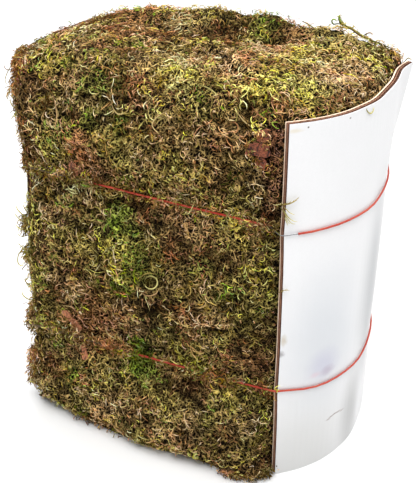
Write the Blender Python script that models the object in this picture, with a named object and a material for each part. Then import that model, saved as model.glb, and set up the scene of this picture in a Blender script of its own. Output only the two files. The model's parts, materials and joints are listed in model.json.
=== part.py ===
"""A pressed bale of dried sheet moss, held upright between two bent corrugated boards and tied
round with two plastic-coated wires. Metres, +Z up. The bale stands on z = 0 and faces -Y."""

import math
from dataclasses import dataclass

import bmesh
import bpy
from mathutils import Matrix, Vector, noise
from mathutils.bvhtree import BVHTree

# The tied bale: two boards as tall as the pressed moss, and how far apart their edges stand
BOARD_HEIGHT = 0.400
BOARD_THICKNESS = 0.007
GAP = 0.0003
CENTRE_SHIFT = Vector((-0.0036, 0.0194))

# Ties
WIRE_RADIUS = 0.00105
CORE_RADIUS = 0.0005
WIRE_BEND_RADIUS = 0.004
LOWER_WIRE_LEFT = (0.1140, 0.1140)
LOWER_WIRE_FRONT = ((-0.1500, -0.1330, 0.1140), (0.0300, -0.1222, 0.1140), (0.0900, -0.1182, 0.1140))
LOWER_WIRE_RIGHT = (0.1128, 0.1073, 0.1065, 0.1063, 0.1083, 0.1100)
UPPER_WIRE_LEFT = (0.2985, 0.2985)
UPPER_WIRE_FRONT = ((-0.1460, -0.1103, 0.2985), (0.0200, -0.1100, 0.2975), (0.1330, -0.1103, 0.2990))
UPPER_WIRE_RIGHT = (0.2915, 0.2924, 0.2915, 0.2920, 0.2930, 0.2940)
COAT_END_SWELL = 1.25
COAT_END_LENGTH = 0.0016

# How the ties and the weight draw in the moss and the boards
MOSS_TIES = (0.1140, 0.2970)
BOARD_TIES = (0.1070, 0.2905)
SQUEEZE_REACH = 0.018
BOARD_DENT = 0.0025
BOARD_TAPER = 0.005
BOARD_COLUMNS = 16
BOARD_LEVELS = (
    0.0, 0.032, 0.064, 0.090, 0.107, 0.124, 0.160, 0.205, 0.245, 0.273, 0.2905, 0.308, 0.335,
    0.360, 0.382, 0.400,
)
RIM_START = 0.270

# The moss body's mesh: levels up its sides, rings inside its top and its base
SPAN_STEPS = 12
TOP_RINGS = (0.965, 0.92, 0.85, 0.76, 0.66, 0.55, 0.43, 0.31, 0.19, 0.08)
BASE_RINGS = (0.85, 0.45)
SIDE_LEVELS = (
    0.0, 0.006, 0.016, 0.034, 0.058, 0.082, 0.099, 0.108, 0.114, 0.120, 0.130, 0.150, 0.178,
    0.206, 0.234, 0.258, 0.276, 0.289, 0.297, 0.303, 0.312, 0.328, 0.348, 0.368, 0.384, 0.394,
)
LUMP_SIZE = 0.034
LUMP_HEIGHT = 0.0028
BOARD_SLACK = 0.0016
EDGE_TUCK = 0.0062
BACK_TUCK = 0.0085

# The faces of the moss: height, how far forward its front stands at the right edge, middle and left
# edge, how far back its back stands, and how far its left corner laps out past the left board's edge
FACE_LEVELS = (
    (0.000, 0.1220, 0.1360, 0.1290, 0.1020, 0.0020),
    (0.018, 0.1290, 0.1500, 0.1400, 0.1080, 0.0070),
    (0.060, 0.1200, 0.1430, 0.1380, 0.1080, 0.0080),
    (0.114, 0.1095, 0.1205, 0.1285, 0.0960, 0.0000),
    (0.170, 0.1135, 0.1320, 0.1300, 0.1080, 0.0050),
    (0.235, 0.1135, 0.1270, 0.1200, 0.1060, 0.0055),
    (0.297, 0.1085, 0.1075, 0.1045, 0.0960, -0.0040),
    (0.335, 0.1120, 0.1210, 0.1110, 0.1070, 0.0090),
    (0.372, 0.1090, 0.1170, 0.1060, 0.1100, 0.0110),
    (0.390, 0.1030, 0.1080, 0.0980, 0.1080, 0.0090),
    (0.400, 0.0970, 0.0970, 0.0900, 0.1030, 0.0030),
)

# The top: a low dome with a trough along it and mounds behind the trough
DOME_HEIGHT = 0.020
TROUGH_START, TROUGH_END = Vector((-0.090, 0.034)), Vector((0.085, 0.052))
TROUGH_DEPTH, TROUGH_WIDTH = 0.011, 0.020


# Bark flakes: how far they stand off the moss, how thick they are, and how many cells they have
FLAKE_GAP = 0.0008
FLAKE_THICKNESS = 0.0020
FLAKE_CELLS = (3, 4)

# The long stem that leans over the rear right of the top, from its foot to its curled tip
STEM_RADIUS = 0.00125
STEM_TIP_SHARE = 0.6
STEM_FOOT = (0.1660, 0.0905)
STEM_ROUTE = (
    (0.1546, 0.0950, 0.4187), (0.1416, 0.0950, 0.4225), (0.1296, 0.0950, 0.4258),
    (0.1186, 0.0950, 0.4287), (0.1106, 0.0950, 0.4302), (0.1068, 0.0950, 0.4318),
    (0.1072, 0.0950, 0.4346), (0.1121, 0.0950, 0.4381),
)


@dataclass(frozen=True)
class Flake:
    """A piece of bark on the front of the moss: its centre seen from the front, its width, its
    length and how far it is turned."""

    name: str
    place: tuple
    width: float
    length: float
    turn_deg: float = 0.0


FLAKES = (
    Flake("bark_flake_upper_main", (0.1233, 0.3717), 0.0138, 0.0106, -4.0),
    Flake("bark_flake_upper_top", (0.1232, 0.3838), 0.0098, 0.0098, 6.0),
    Flake("bark_flake_upper_side", (0.1124, 0.3708), 0.0046, 0.0094, -5.0),
    Flake("bark_flake_upper_lower", (0.1240, 0.3605), 0.0086, 0.0088, 4.0),
    Flake("bark_flake_left_upper", (-0.0833, 0.3085), 0.0088, 0.0150, -12.0),
    Flake("bark_flake_left_middle", (-0.0874, 0.1345), 0.0078, 0.0250, 42.0),
    Flake("bark_flake_left_lower", (-0.0745, 0.0975), 0.0066, 0.0150, 16.0),
)


@dataclass(frozen=True)
class Mound:
    """A rise on the top of the bale."""

    place: tuple
    reach: float
    height: float


MOUNDS = (
    Mound((-0.105, 0.062), 0.045, 0.008),
    Mound((-0.015, 0.082), 0.044, 0.020),
    Mound((0.045, 0.080), 0.028, 0.016),
    Mound((0.115, 0.078), 0.048, 0.014),
    Mound((-0.060, -0.050), 0.060, 0.003),
    Mound((0.080, -0.040), 0.060, 0.004),
)


def smooth_line(points, closed=False, per_span=12):
    """Points along a smooth curve that passes through the given plan points."""
    points = [Vector(p) for p in points]
    count = len(points)
    spans = count if closed else count - 1
    line = []
    for i in range(spans):
        if closed:
            before, start, end, after = (points[(i + k) % count] for k in (-1, 0, 1, 2))
        else:
            start, end = points[i], points[i + 1]
            before = points[i - 1] if i else start * 2 - end
            after = points[i + 2] if i + 2 < count else end * 2 - start
        for step in range(per_span):
            t = step / per_span
            line.append(
                0.5 * (2 * start + (end - before) * t
                       + (2 * before - 5 * start + 4 * end - after) * t * t
                       + (3 * start - before - 3 * end + after) * t * t * t)
            )
    if not closed:
        line.append(points[-1])
    return line


class Route:
    """A line that is read by the share of its length that has been walked."""

    def __init__(self, line, closed=False):
        self.line = list(line) + ([line[0]] if closed else [])
        self.marks = [0.0]
        for a, b in zip(self.line, self.line[1:]):
            self.marks.append(self.marks[-1] + (b - a).length)
        self.length = self.marks[-1]

    def at(self, share):
        """The point after this share of the line."""
        far = min(max(share, 0.0), 1.0) * self.length
        for i in range(len(self.line) - 1):
            if far <= self.marks[i + 1]:
                step = self.marks[i + 1] - self.marks[i]
                return self.line[i].lerp(self.line[i + 1], (far - self.marks[i]) / step)
        return self.line[-1].copy()


def squeeze(height, ties):
    """1 at the height of one of the ties, falling to 0 away from it."""
    return sum(math.exp(-(((height - tie) / SQUEEZE_REACH) ** 2)) for tie in ties)


class Board:
    """A bent upright board, given as the plan of its outer face from its front to its back edge.
    The plan changes over the top quarter to the one that its rim has."""

    def __init__(self, name, plan, rim, outward, lean):
        self.name = name
        self.plan = Route(smooth_line(plan))
        self.rim = Route(smooth_line(rim))
        self.outward = outward
        self.lean = lean

    def place(self, share, height):
        """A plan point of the outer face before the ties draw it in."""
        blend = min(max((height - RIM_START) / (BOARD_HEIGHT - RIM_START), 0.0), 1.0)
        place = self.plan.at(share).lerp(self.rim.at(share), blend)
        place.y += self.lean * (height / BOARD_HEIGHT - 0.5) * (1 - share)
        return place

    def along(self, share, height):
        """The plan direction from the front edge to the back edge."""
        return (self.place(share + 0.01, height) - self.place(share - 0.01, height)).normalized()

    def normal(self, share, height):
        """The plan direction that the outer face looks in."""
        along = self.along(share, height)
        return Vector((along.y, -along.x)) * self.outward

    def outer(self, share, height, depth=0.0):
        """A plan point this deep in the board, as the ties draw it in."""
        free_edge = math.exp(-((share / 0.10) ** 2)) + math.exp(-(((1 - share) / 0.25) ** 2))
        dent = BOARD_DENT * squeeze(height, BOARD_TIES) * (0.2 + 0.8 * min(free_edge, 1.0))
        rear = min(max((share - 0.35) / 0.5, 0.0), 1.0)
        dent += BOARD_TAPER * rear * (1 - height / BOARD_HEIGHT)
        return self.place(share, height) - self.normal(share, height) * (dent + depth)

    def inner(self, share, height, clearance):
        """A plan point inside the board, this far from its inner face."""
        return self.outer(share, height, BOARD_THICKNESS + clearance)

    def edge(self, share, height, ahead, out):
        """A plan point past the middle of the front edge, share 0, or of the back edge, share 1."""
        middle = self.outer(share, height, BOARD_THICKNESS / 2)
        along = self.along(share, height) * (1 if share else -1)
        return middle + along * ahead + self.normal(share, height) * out


RIGHT_BOARD = Board(
    "end_board_right",
    plan=(
        (0.1480, -0.1100), (0.1675, -0.0895), (0.1830, -0.0655), (0.1925, -0.0400),
        (0.1980, -0.0150), (0.1978, 0.0130), (0.1952, 0.0370), (0.1908, 0.0590), (0.1830, 0.0800),
        (0.1735, 0.0985),
    ),
    rim=(
        (0.1480, -0.1100), (0.1675, -0.0895), (0.1830, -0.0655), (0.1915, -0.0420),
        (0.1970, -0.0180), (0.1970, 0.0110), (0.1955, 0.0400), (0.1905, 0.0700), (0.1905, 0.0850),
        (0.1925, 0.1000),
    ),
    outward=1,
    lean=0.0,
)
LEFT_BOARD = Board(
    "end_board_left",
    plan=(
        (-0.1600, -0.1000), (-0.1760, -0.0760), (-0.1865, -0.0460), (-0.1905, -0.0120),
        (-0.1905, 0.0230), (-0.1860, 0.0580), (-0.1790, 0.0980),
    ),
    rim=(
        (-0.1600, -0.1000), (-0.1760, -0.0760), (-0.1865, -0.0460), (-0.1905, -0.0120),
        (-0.1905, 0.0230), (-0.1880, 0.0580), (-0.1850, 0.0980),
    ),
    outward=-1,
    lean=0.030,
)


def between_levels(height, column):
    """A value of FACE_LEVELS at this height, eased from level to level."""
    for low, high in zip(FACE_LEVELS, FACE_LEVELS[1:]):
        if height <= high[0]:
            t = (height - low[0]) / (high[0] - low[0])
            t = t * t * (3 - 2 * t)
            return low[column] + (high[column] - low[column]) * t
    return FACE_LEVELS[-1][column]


def moss_outline(height):
    """The plan outline of the moss at this height from its right front corner. Each entry is a
    point, the number of columns up to the next point, and how freely the moss lumps there."""
    right, middle, left, back, lap = (between_levels(height, column) for column in range(1, 6))
    outline = [(RIGHT_BOARD.inner(s, height, BOARD_SLACK), 2, 0) for s in (0.04, 0.2, 0.4, 0.6, 0.8)]
    outline.append((RIGHT_BOARD.inner(0.94, height, BOARD_SLACK), 2, 0))
    outline.append((RIGHT_BOARD.edge(1.0, height, 0.0, -BACK_TUCK), 3, 0))
    outline += [(Vector((x, back)), 4, 1) for x in (0.120, 0.055, -0.020, -0.095)]
    outline.append((LEFT_BOARD.edge(1.0, height, 0.0, -BACK_TUCK), 1, 0))
    outline += [(LEFT_BOARD.inner(s, height, BOARD_SLACK), 2, 0) for s in (0.94, 0.75, 0.5, 0.25)]
    outline.append((LEFT_BOARD.inner(0.08, height, BOARD_SLACK), 1, 0))
    outline.append((LEFT_BOARD.edge(0.0, height, 0.002, -EDGE_TUCK), 1, 0))
    outline.append((LEFT_BOARD.edge(0.0, height, 0.013, lap), 2, 0))
    front = ((-0.134, left, 4), (-0.070, (left + middle) / 2, 4), (0.000, middle, 3),
             (0.060, (right + 3 * middle) / 4, 3), (0.108, (2 * right + middle) / 3, 2))
    outline += [(Vector((x, -forward)), columns, 1) for x, forward, columns in front]
    outline.append((Vector((0.130, -right)), 1, 0.5))
    outline.append((RIGHT_BOARD.edge(0.0, height, 0.002, -EDGE_TUCK), 1, 0))
    return outline


def moss_ring(height):
    """The columns of the moss at this height: each one's plan point and how freely it lumps."""
    outline = moss_outline(height)
    line = smooth_line([point for point, _, _ in outline], closed=True, per_span=SPAN_STEPS)
    ring = []
    for i, (_, columns, free) in enumerate(outline):
        next_free = outline[(i + 1) % len(outline)][2]
        for step in range(columns):
            share = step / columns
            ring.append((line[i * SPAN_STEPS + round(share * SPAN_STEPS)],
                         free + (next_free - free) * share))
    return ring


def top_rise(place):
    """How far the top of the moss stands above the boards' top edges, well inside its rim."""
    rise = DOME_HEIGHT
    for mound in MOUNDS:
        rise += mound.height * math.exp(-(((place - Vector(mound.place)).length / mound.reach) ** 2))
    trough = TROUGH_END - TROUGH_START
    share = min(max((place - TROUGH_START).dot(trough) / trough.length_squared, 0.0), 1.0)
    away = (place - TROUGH_START - trough * share).length
    return rise - TROUGH_DEPTH * math.exp(-((away / TROUGH_WIDTH) ** 2))


def lump(place):
    """The moss's own relief, between -1 and 1."""
    coarse = noise.noise(place / LUMP_SIZE)
    fine = noise.noise(place / (LUMP_SIZE * 0.45) + Vector((7.0, 3.0, 5.0)))
    return 0.75 * coarse + 0.35 * fine


def moss_levels():
    """Each row of the moss body from the middle of its base to the middle of its top, as the height
    of the ring that it is drawn in from and the share of that ring's size."""
    rows = [(0.0, 0.0)]
    rows += [(0.0, size) for size in reversed(BASE_RINGS)]
    rows += [(height, 1.0) for height in SIDE_LEVELS]
    rows += [(BOARD_HEIGHT, size) for size in TOP_RINGS]
    rows.append((BOARD_HEIGHT, 0.0))
    return rows


def moss_point(ring, column, height, size):
    """A point of the moss's surface in one column of one row."""
    plan = ring[column][0] * size
    place = Vector((plan.x, plan.y, height))
    if height == 0.0:
        return place
    if height == BOARD_HEIGHT:
        place.z += top_rise(plan) * (1 - size**7)
        place.z += LUMP_HEIGHT * lump(place) * (1 - size**8)
        return place
    along = ring[(column + 1) % len(ring)][0] - ring[column - 1][0]
    outward = Vector((along.y, -along.x, 0.0)).normalized()
    free = ring[column][1] * (1 - min(squeeze(height, MOSS_TIES), 1.0)) * min(height / 0.02, 1.0)
    return place + outward * LUMP_HEIGHT * lump(place) * free


def new_object(name, mesh_or_curve, colour, roughness, metallic=0.0):
    """Links an object that has a plain material of its own."""
    material = bpy.data.materials.new(name)
    material.use_nodes = True
    shader = material.node_tree.nodes["Principled BSDF"]
    shader.inputs["Base Color"].default_value = (*colour, 1.0)
    shader.inputs["Roughness"].default_value = roughness
    shader.inputs["Metallic"].default_value = metallic
    mesh_or_curve.materials.append(material)
    thing = bpy.data.objects.new(name, mesh_or_curve)
    thing.location = (*CENTRE_SHIFT, 0.0)
    bpy.context.scene.collection.objects.link(thing)
    return thing


def mesh_from(name, shape, smooth=True):
    """Turns a bmesh into a mesh with its faces looking out."""
    bmesh.ops.recalc_face_normals(shape, faces=shape.faces)
    mesh = bpy.data.meshes.new(name)
    shape.to_mesh(mesh)
    shape.free()
    if smooth:
        mesh.shade_smooth()
        mesh.set_sharp_from_angle(angle=math.radians(40))
    return mesh


def build_moss():
    """The pressed moss: a ball's rings, each moved to the outline that the bale has there."""
    rows = moss_levels()
    rings = {height: moss_ring(height) for height, _ in rows}
    columns = len(rings[0.0])
    shape = bmesh.new()
    bmesh.ops.create_uvsphere(shape, u_segments=columns, v_segments=len(rows) - 1, radius=1.0)
    for vertex in shape.verts:
        turn = math.atan2(vertex.co.y, vertex.co.x) / math.tau
        row = round((1 - math.acos(max(-1.0, min(1.0, vertex.co.z))) / math.pi) * (len(rows) - 1))
        height, size = rows[row]
        vertex.co = moss_point(rings[height], math.floor(turn * columns + 0.25) % columns, height, size)
    return new_object("pressed_moss", mesh_from("pressed_moss", shape), (0.16, 0.15, 0.05), 0.95)


def build_board(board, colour):
    """A flat slab whose length, height and depth are then bent to the board's plan."""
    shape = bmesh.new()
    rows = len(BOARD_LEVELS) - 1
    bmesh.ops.create_grid(shape, x_segments=BOARD_COLUMNS, y_segments=rows, size=0.5)
    slab = bmesh.ops.extrude_face_region(shape, geom=shape.faces[:])
    raised = [item for item in slab["geom"] if isinstance(item, bmesh.types.BMVert)]
    bmesh.ops.translate(shape, verts=raised, vec=(0.0, 0.0, 1.0))
    for vertex in shape.verts:
        height = BOARD_LEVELS[round((vertex.co.y + 0.5) * rows)]
        depth = BOARD_THICKNESS * vertex.co.z
        vertex.co = Vector((*board.outer(vertex.co.x + 0.5, height, depth), height))
    return new_object(board.name, mesh_from(board.name, shape), colour, 0.7)


def rounded(points, radius, closed):
    """Replaces each bend of a route by a short arc-like curve."""
    points = [Vector(p) for p in points]
    count = len(points)
    line = []
    for i, here in enumerate(points):
        if not closed and i in (0, count - 1):
            line.append(here)
            continue
        back, ahead = points[i - 1] - here, points[(i + 1) % count] - here
        reach = min(radius, back.length * 0.45, ahead.length * 0.45)
        start = here + back.normalized() * reach
        end = here + ahead.normalized() * reach
        if back.angle(ahead) > math.radians(165):
            line.append(here)
            continue
        for step in range(4):
            t = step / 3
            line.append(start.lerp(here, t).lerp(here.lerp(end, t), t))
    return line


def spread(values, share):
    """A value between evenly spaced ones, at this share of the way along them."""
    far = share * (len(values) - 1)
    start = min(int(far), len(values) - 2)
    return values[start] + (values[start + 1] - values[start]) * (far - start)


def wire_on_board(board, heights):
    """Route points of a tie on a board's outer face from front to back, round both of its edges.
    Heights are the tie's own at evenly spaced places along the board."""
    off = WIRE_RADIUS + GAP + 0.0004
    line = []
    for column in range(BOARD_COLUMNS + 1):
        share = column / BOARD_COLUMNS
        height = spread(heights, share)
        place = board.outer(share, height, -off)
        if share == 0.0:
            place = board.outer(share, height, -off * 0.8) - board.along(share, height) * off * 1.5
        if share == 1.0:
            place = board.outer(share, height, -off * 0.8) + board.along(share, height) * off * 1.9
        line.append(Vector((*place, height)))
    return line


def build_wire(name, line, closed, colour, roughness, metallic=0.0, radius=WIRE_RADIUS, swells=()):
    """A round wire along a route. Swells holds the share of the radius at each of its first points."""
    curve = bpy.data.curves.new(name, "CURVE")
    curve.dimensions = "3D"
    curve.bevel_depth = radius
    curve.bevel_resolution = 2
    curve.use_fill_caps = True
    spline = curve.splines.new("POLY")
    spline.points.add(len(line) - 1)
    for point, place in zip(spline.points, line):
        point.co = (*place, 1.0)
    for point, swell in zip(spline.points, swells):
        point.radius = swell
    spline.use_cyclic_u = closed
    return new_object(name, curve, colour, roughness, metallic)


def build_lower_tie(colour):
    """The lower tie: taut across the front of the moss, then round both boards and the back."""
    right = wire_on_board(RIGHT_BOARD, LOWER_WIRE_RIGHT)
    left = wire_on_board(LEFT_BOARD, LOWER_WIRE_LEFT)
    front = [Vector(place) for place in LOWER_WIRE_FRONT]
    line = rounded([*right, *reversed(left), *front], WIRE_BEND_RADIUS, closed=True)
    build_wire("tie_wire_lower", line, True, colour, 0.35)


def build_upper_tie(colour):
    """The upper tie. Its coat starts on the right board, runs round the bale and ends in the front
    of the moss. The bare core bridges the two coat ends round the board's front edge."""
    right = wire_on_board(RIGHT_BOARD, UPPER_WIRE_RIGHT)
    left = wire_on_board(LEFT_BOARD, UPPER_WIRE_LEFT)
    front = [Vector(place) for place in UPPER_WIRE_FRONT]
    corner, coat_start, coat_stop = right[0], right[1], front[-1]
    first_run = (right[2] - coat_start).normalized()
    last_run = (coat_stop - front[-2]).normalized()
    neck = coat_start + first_run * COAT_END_LENGTH
    route = [coat_start, neck, *right[2:], *reversed(left), *front]
    line = rounded(route, WIRE_BEND_RADIUS, closed=False)
    build_wire("tie_wire_upper", line, False, colour, 0.35, swells=(COAT_END_SWELL,))

    bare = [coat_stop + last_run * GAP, corner, coat_start - first_run * GAP]
    line = rounded(bare, WIRE_BEND_RADIUS, closed=False)
    build_wire("tie_wire_upper_core", line, False, (0.45, 0.44, 0.42), 0.35, 1.0, CORE_RADIUS)


def build_flake(flake, moss):
    """A flake of bark: a small slab with a ragged outline, laid along the front of the moss."""
    shape = bmesh.new()
    columns, rows = FLAKE_CELLS
    bmesh.ops.create_grid(shape, x_segments=columns, y_segments=rows, size=0.5)
    slab = bmesh.ops.extrude_face_region(shape, geom=shape.faces[:])
    raised = [item for item in slab["geom"] if isinstance(item, bmesh.types.BMVert)]
    bmesh.ops.translate(shape, verts=raised, vec=(0.0, 0.0, 1.0))
    turn = Matrix.Rotation(math.radians(flake.turn_deg), 2)
    for vertex in shape.verts:
        across, up, depth = vertex.co
        ragged = noise.noise(Vector((across * 3, up * 3, flake.length * 900)))
        narrow = 1 - 0.9 * abs(up) ** 2.5 + 0.25 * ragged
        short = 1 - 0.6 * abs(across) ** 2 - 0.15 * ragged
        seen = turn @ Vector((across * narrow * flake.width, up * short * flake.length))
        start = Vector((flake.place[0] + seen.x, -1.0, flake.place[1] + seen.y))
        surface = moss.ray_cast(start, Vector((0.0, 1.0, 0.0)))[0]
        vertex.co = surface - Vector((0.0, FLAKE_GAP + FLAKE_THICKNESS * depth, 0.0))
    new_object(flake.name, mesh_from(flake.name, shape, smooth=False), (0.16, 0.06, 0.03), 0.85)


def build_stem(moss):
    """The long loose stem, from a foot that stands on the moss to its curled tip."""
    above = Vector((*STEM_FOOT, 1.0))
    foot = moss.ray_cast(above, Vector((0.0, 0.0, -1.0)))[0]
    foot.z += STEM_RADIUS + GAP * 2
    line = smooth_line([foot, *STEM_ROUTE], per_span=3)
    count = len(line) - 1
    swells = [1 - (1 - STEM_TIP_SHARE) * i / count for i in range(count + 1)]
    build_wire("loose_stem", line, False, (0.30, 0.27, 0.10), 0.9, 0.0, STEM_RADIUS, swells)


def main():
    """Builds every piece of the bale."""
    for thing in list(bpy.data.objects):
        bpy.data.objects.remove(thing)
    white = (0.86, 0.86, 0.84)
    red = (0.55, 0.06, 0.03)
    moss = build_moss()
    build_board(RIGHT_BOARD, white)
    build_board(LEFT_BOARD, white)
    build_lower_tie(red)
    build_upper_tie(red)
    surface = BVHTree.FromPolygons([v.co for v in moss.data.vertices],
                                   [face.vertices for face in moss.data.polygons])
    for flake in FLAKES:
        build_flake(flake, surface)
    build_stem(surface)


if __name__ == "__main__":
    main()
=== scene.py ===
"""Looks of an upright bale of pressed, dried sheet moss between two bent corrugated end boards,
tied round with two coated wires. Metres, +Z up. The bale stands on z = 0 and its photographed
face looks towards -Y. The long tables hold whole numbers, and each one's reader says their units.
"""

import json
import logging
import math
from collections.abc import Callable
from dataclasses import dataclass
from enum import Enum

import bmesh
import bpy
import numpy as np
from mathutils import Matrix, Vector, noise
from mathutils.bvhtree import BVHTree
from mathutils.kdtree import KDTree

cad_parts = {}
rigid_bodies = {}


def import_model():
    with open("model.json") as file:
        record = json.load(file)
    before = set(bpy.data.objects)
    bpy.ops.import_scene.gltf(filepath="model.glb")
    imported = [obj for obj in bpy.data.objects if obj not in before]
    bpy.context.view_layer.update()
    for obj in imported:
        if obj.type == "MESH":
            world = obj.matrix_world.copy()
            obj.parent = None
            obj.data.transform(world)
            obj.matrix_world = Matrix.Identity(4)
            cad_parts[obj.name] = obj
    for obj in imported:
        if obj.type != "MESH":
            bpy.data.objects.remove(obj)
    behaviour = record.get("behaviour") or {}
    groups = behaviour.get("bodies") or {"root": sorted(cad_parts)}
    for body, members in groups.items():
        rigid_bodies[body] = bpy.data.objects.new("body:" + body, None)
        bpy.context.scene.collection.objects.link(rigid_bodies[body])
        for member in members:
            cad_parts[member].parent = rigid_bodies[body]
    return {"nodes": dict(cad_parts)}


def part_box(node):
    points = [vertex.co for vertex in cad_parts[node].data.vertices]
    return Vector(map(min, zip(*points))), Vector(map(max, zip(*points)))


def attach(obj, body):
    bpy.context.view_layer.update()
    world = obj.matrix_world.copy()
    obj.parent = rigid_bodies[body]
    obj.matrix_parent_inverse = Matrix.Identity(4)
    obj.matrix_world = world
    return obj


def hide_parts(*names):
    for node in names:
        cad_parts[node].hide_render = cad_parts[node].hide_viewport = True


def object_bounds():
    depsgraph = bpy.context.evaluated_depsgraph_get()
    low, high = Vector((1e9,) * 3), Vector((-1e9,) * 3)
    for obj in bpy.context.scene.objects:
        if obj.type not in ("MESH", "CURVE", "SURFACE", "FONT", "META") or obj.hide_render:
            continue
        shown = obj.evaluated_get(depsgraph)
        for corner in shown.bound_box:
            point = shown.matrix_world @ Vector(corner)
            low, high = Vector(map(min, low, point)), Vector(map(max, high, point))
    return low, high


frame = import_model()
CAD_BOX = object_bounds()
LOG = logging.getLogger("moss_bale")

BODY = "root"
MOSS = "pressed_moss"
SEED = 20419
BALE_SHIFT = np.array((-0.0036, 0.0194))
TURN = 2 * math.pi
UP = np.array((0.0, 0.0, 1.0))

Array = np.ndarray
Shape = bmesh.types.BMesh
Material = bpy.types.Material
Mesh = bpy.types.Mesh
Node = bpy.types.Node
Socket = bpy.types.NodeSocket
Tree = bpy.types.NodeTree
Value = Socket | float | tuple
MILLI = 1_000
TENTHS = 10_000


# Small tools for colours, meshes and node trees


def linear(rgb: tuple) -> tuple:
    """Blender's linear values of a colour given as 0 to 255 on a screen."""
    shares = (value / 255 for value in rgb)
    return tuple(s / 12.92 if s <= 0.04045 else ((s + 0.055) / 1.055) ** 2.4 for s in shares)


def unit(rows: Array) -> Array:
    """Scales each row to length 1."""
    return rows / np.maximum(np.linalg.norm(rows, axis=-1, keepdims=True), 1e-12)


def parts_of(values: tuple, parts: int) -> tuple:
    """Turns whole numbers of a unit's parts into units."""
    return tuple(value / parts for value in values)


def read_line(points: tuple) -> tuple:
    """Turns points in tenths of a millimetre into metres."""
    return tuple(parts_of(point, TENTHS) for point in points)


def noise_at(places: Array, scale: float, shift: tuple = (0, 0, 0)) -> Array:
    """Smooth noise at each place, about -1 to 1."""
    return np.array([noise.noise(Vector(place) * scale + Vector(shift)) for place in places])


def fill(tree: Tree, item: Node, links: dict) -> Node:
    """Fills a node's sockets with values, or links them to the output sockets that feed them."""
    for key, value in links.items():
        if isinstance(value, Socket):
            tree.links.new(value, item.inputs[key])
        else:
            item.inputs[key].default_value = value
    return item


def add_node(tree: Tree, kind: str, links: dict, **settings: object) -> Node:
    """Adds a node and fills its sockets.

    Args:
        tree: the node tree it goes in.
        kind: Blender's name for the node type, without ShaderNode.
        links: socket name or number to a value, or to the output socket that feeds it.
        settings: the node's own settings.

    Returns:
        The new node.
    """
    item = tree.nodes.new(f"ShaderNode{kind}")
    for name, value in settings.items():
        setattr(item, name, value)
    return fill(tree, item, links)


def add_math(tree: Tree, operation: str, *values: Value, clamp: bool = False) -> Socket:
    """Adds a Math node for numbers or sockets, and returns its output socket."""
    links = dict(enumerate(values))
    return add_node(tree, "Math", links, operation=operation, use_clamp=clamp).outputs[0]


def mix_colours(tree: Tree, factor: Value, first: Value, second: Value,
                blend: str = "MIX") -> Socket:
    """Mixes two linear colours or colour sockets.

    Args:
        tree: the node tree.
        factor: number or socket.
        first: the colour at factor 0.
        second: the colour at factor 1.
        blend: Blender's name for the blend type.

    Returns:
        The mixed colour's socket.
    """
    links = {key: (*value, 1.0) if isinstance(value, tuple) else value
             for key, value in ((0, factor), (6, first), (7, second))}
    return add_node(tree, "Mix", links, data_type="RGBA", blend_type=blend).outputs[2]


def new_group(name: str, defaults: dict, results: tuple) -> tuple:
    """Makes an empty node group that takes a vector and numbers, and gives numbers.

    Args:
        name: the group's name.
        defaults: each number's name and default.
        results: the names of its results.

    Returns:
        The group, the sockets of what it is given and the sockets of its results.
    """
    group = bpy.data.node_groups.new(name, "ShaderNodeTree")

    def add_socket(label: str, way: str, kind: str = "Float") -> bpy.types.NodeTreeInterfaceSocket:
        """Adds a socket to the group's face."""
        kind = f"NodeSocket{kind}"
        return group.interface.new_socket(name=label, in_out=way, socket_type=kind)

    add_socket("Vector", "INPUT", "Vector")
    for label, value in defaults.items():
        add_socket(label, "INPUT").default_value = value
    for label in results:
        add_socket(label, "OUTPUT")
    given, result = (group.nodes.new(f"NodeGroup{end}") for end in ("Input", "Output"))
    return group, given.outputs, result.inputs


def set_tint(mesh: Mesh, colours: Array) -> None:
    """Gives each point of a mesh its linear colour."""
    tint = np.ones((len(colours), 4), np.float32)
    tint[:, :3] = colours
    layer = mesh.attributes.new("tint", "FLOAT_COLOR", "POINT")
    layer.data.foreach_set("color", tint.ravel())


def add_piece(mesh: Mesh, material: Material, slot: str, *replaced: str) -> None:
    """Links a finished mesh as a piece of the bale.

    Args:
        mesh: the mesh, in place and with the piece's name.
        material: its only material.
        slot: not used.
        replaced: the CAD nodes that it stands for.
    """
    mesh.materials.append(material)
    piece = bpy.data.objects.new(mesh.name, mesh)
    bpy.context.scene.collection.objects.link(piece)
    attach(piece, BODY)
    if replaced:
        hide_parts(*replaced)
    LOG.info("%s: %d faces", mesh.name, len(mesh.polygons))


def mesh_from(shape: Shape, name: str, smooth_deg: float = 40.0) -> Mesh:
    """Turns a bmesh into a mesh that is smooth up to an angle."""
    mesh = bpy.data.meshes.new(name)
    shape.to_mesh(mesh)
    shape.free()
    mesh.shade_smooth()
    mesh.set_sharp_from_angle(angle=math.radians(smooth_deg))
    return mesh


def arrays_of(shape: Shape) -> tuple:
    """The points, the normals and the faces of a bmesh of triangles."""
    shape.verts.index_update()
    points = np.array([v.co[:] for v in shape.verts])
    normals = np.array([v.normal[:] for v in shape.verts])
    return points, normals, np.array([[v.index for v in f.verts] for f in shape.faces])


def welded_copy(node: str) -> Shape:
    """A bmesh of a CAD node with its loose triangles joined."""
    shape = bmesh.new()
    shape.from_mesh(frame["nodes"][node].data)
    bmesh.ops.remove_doubles(shape, verts=shape.verts, dist=1e-6)
    return shape


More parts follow.
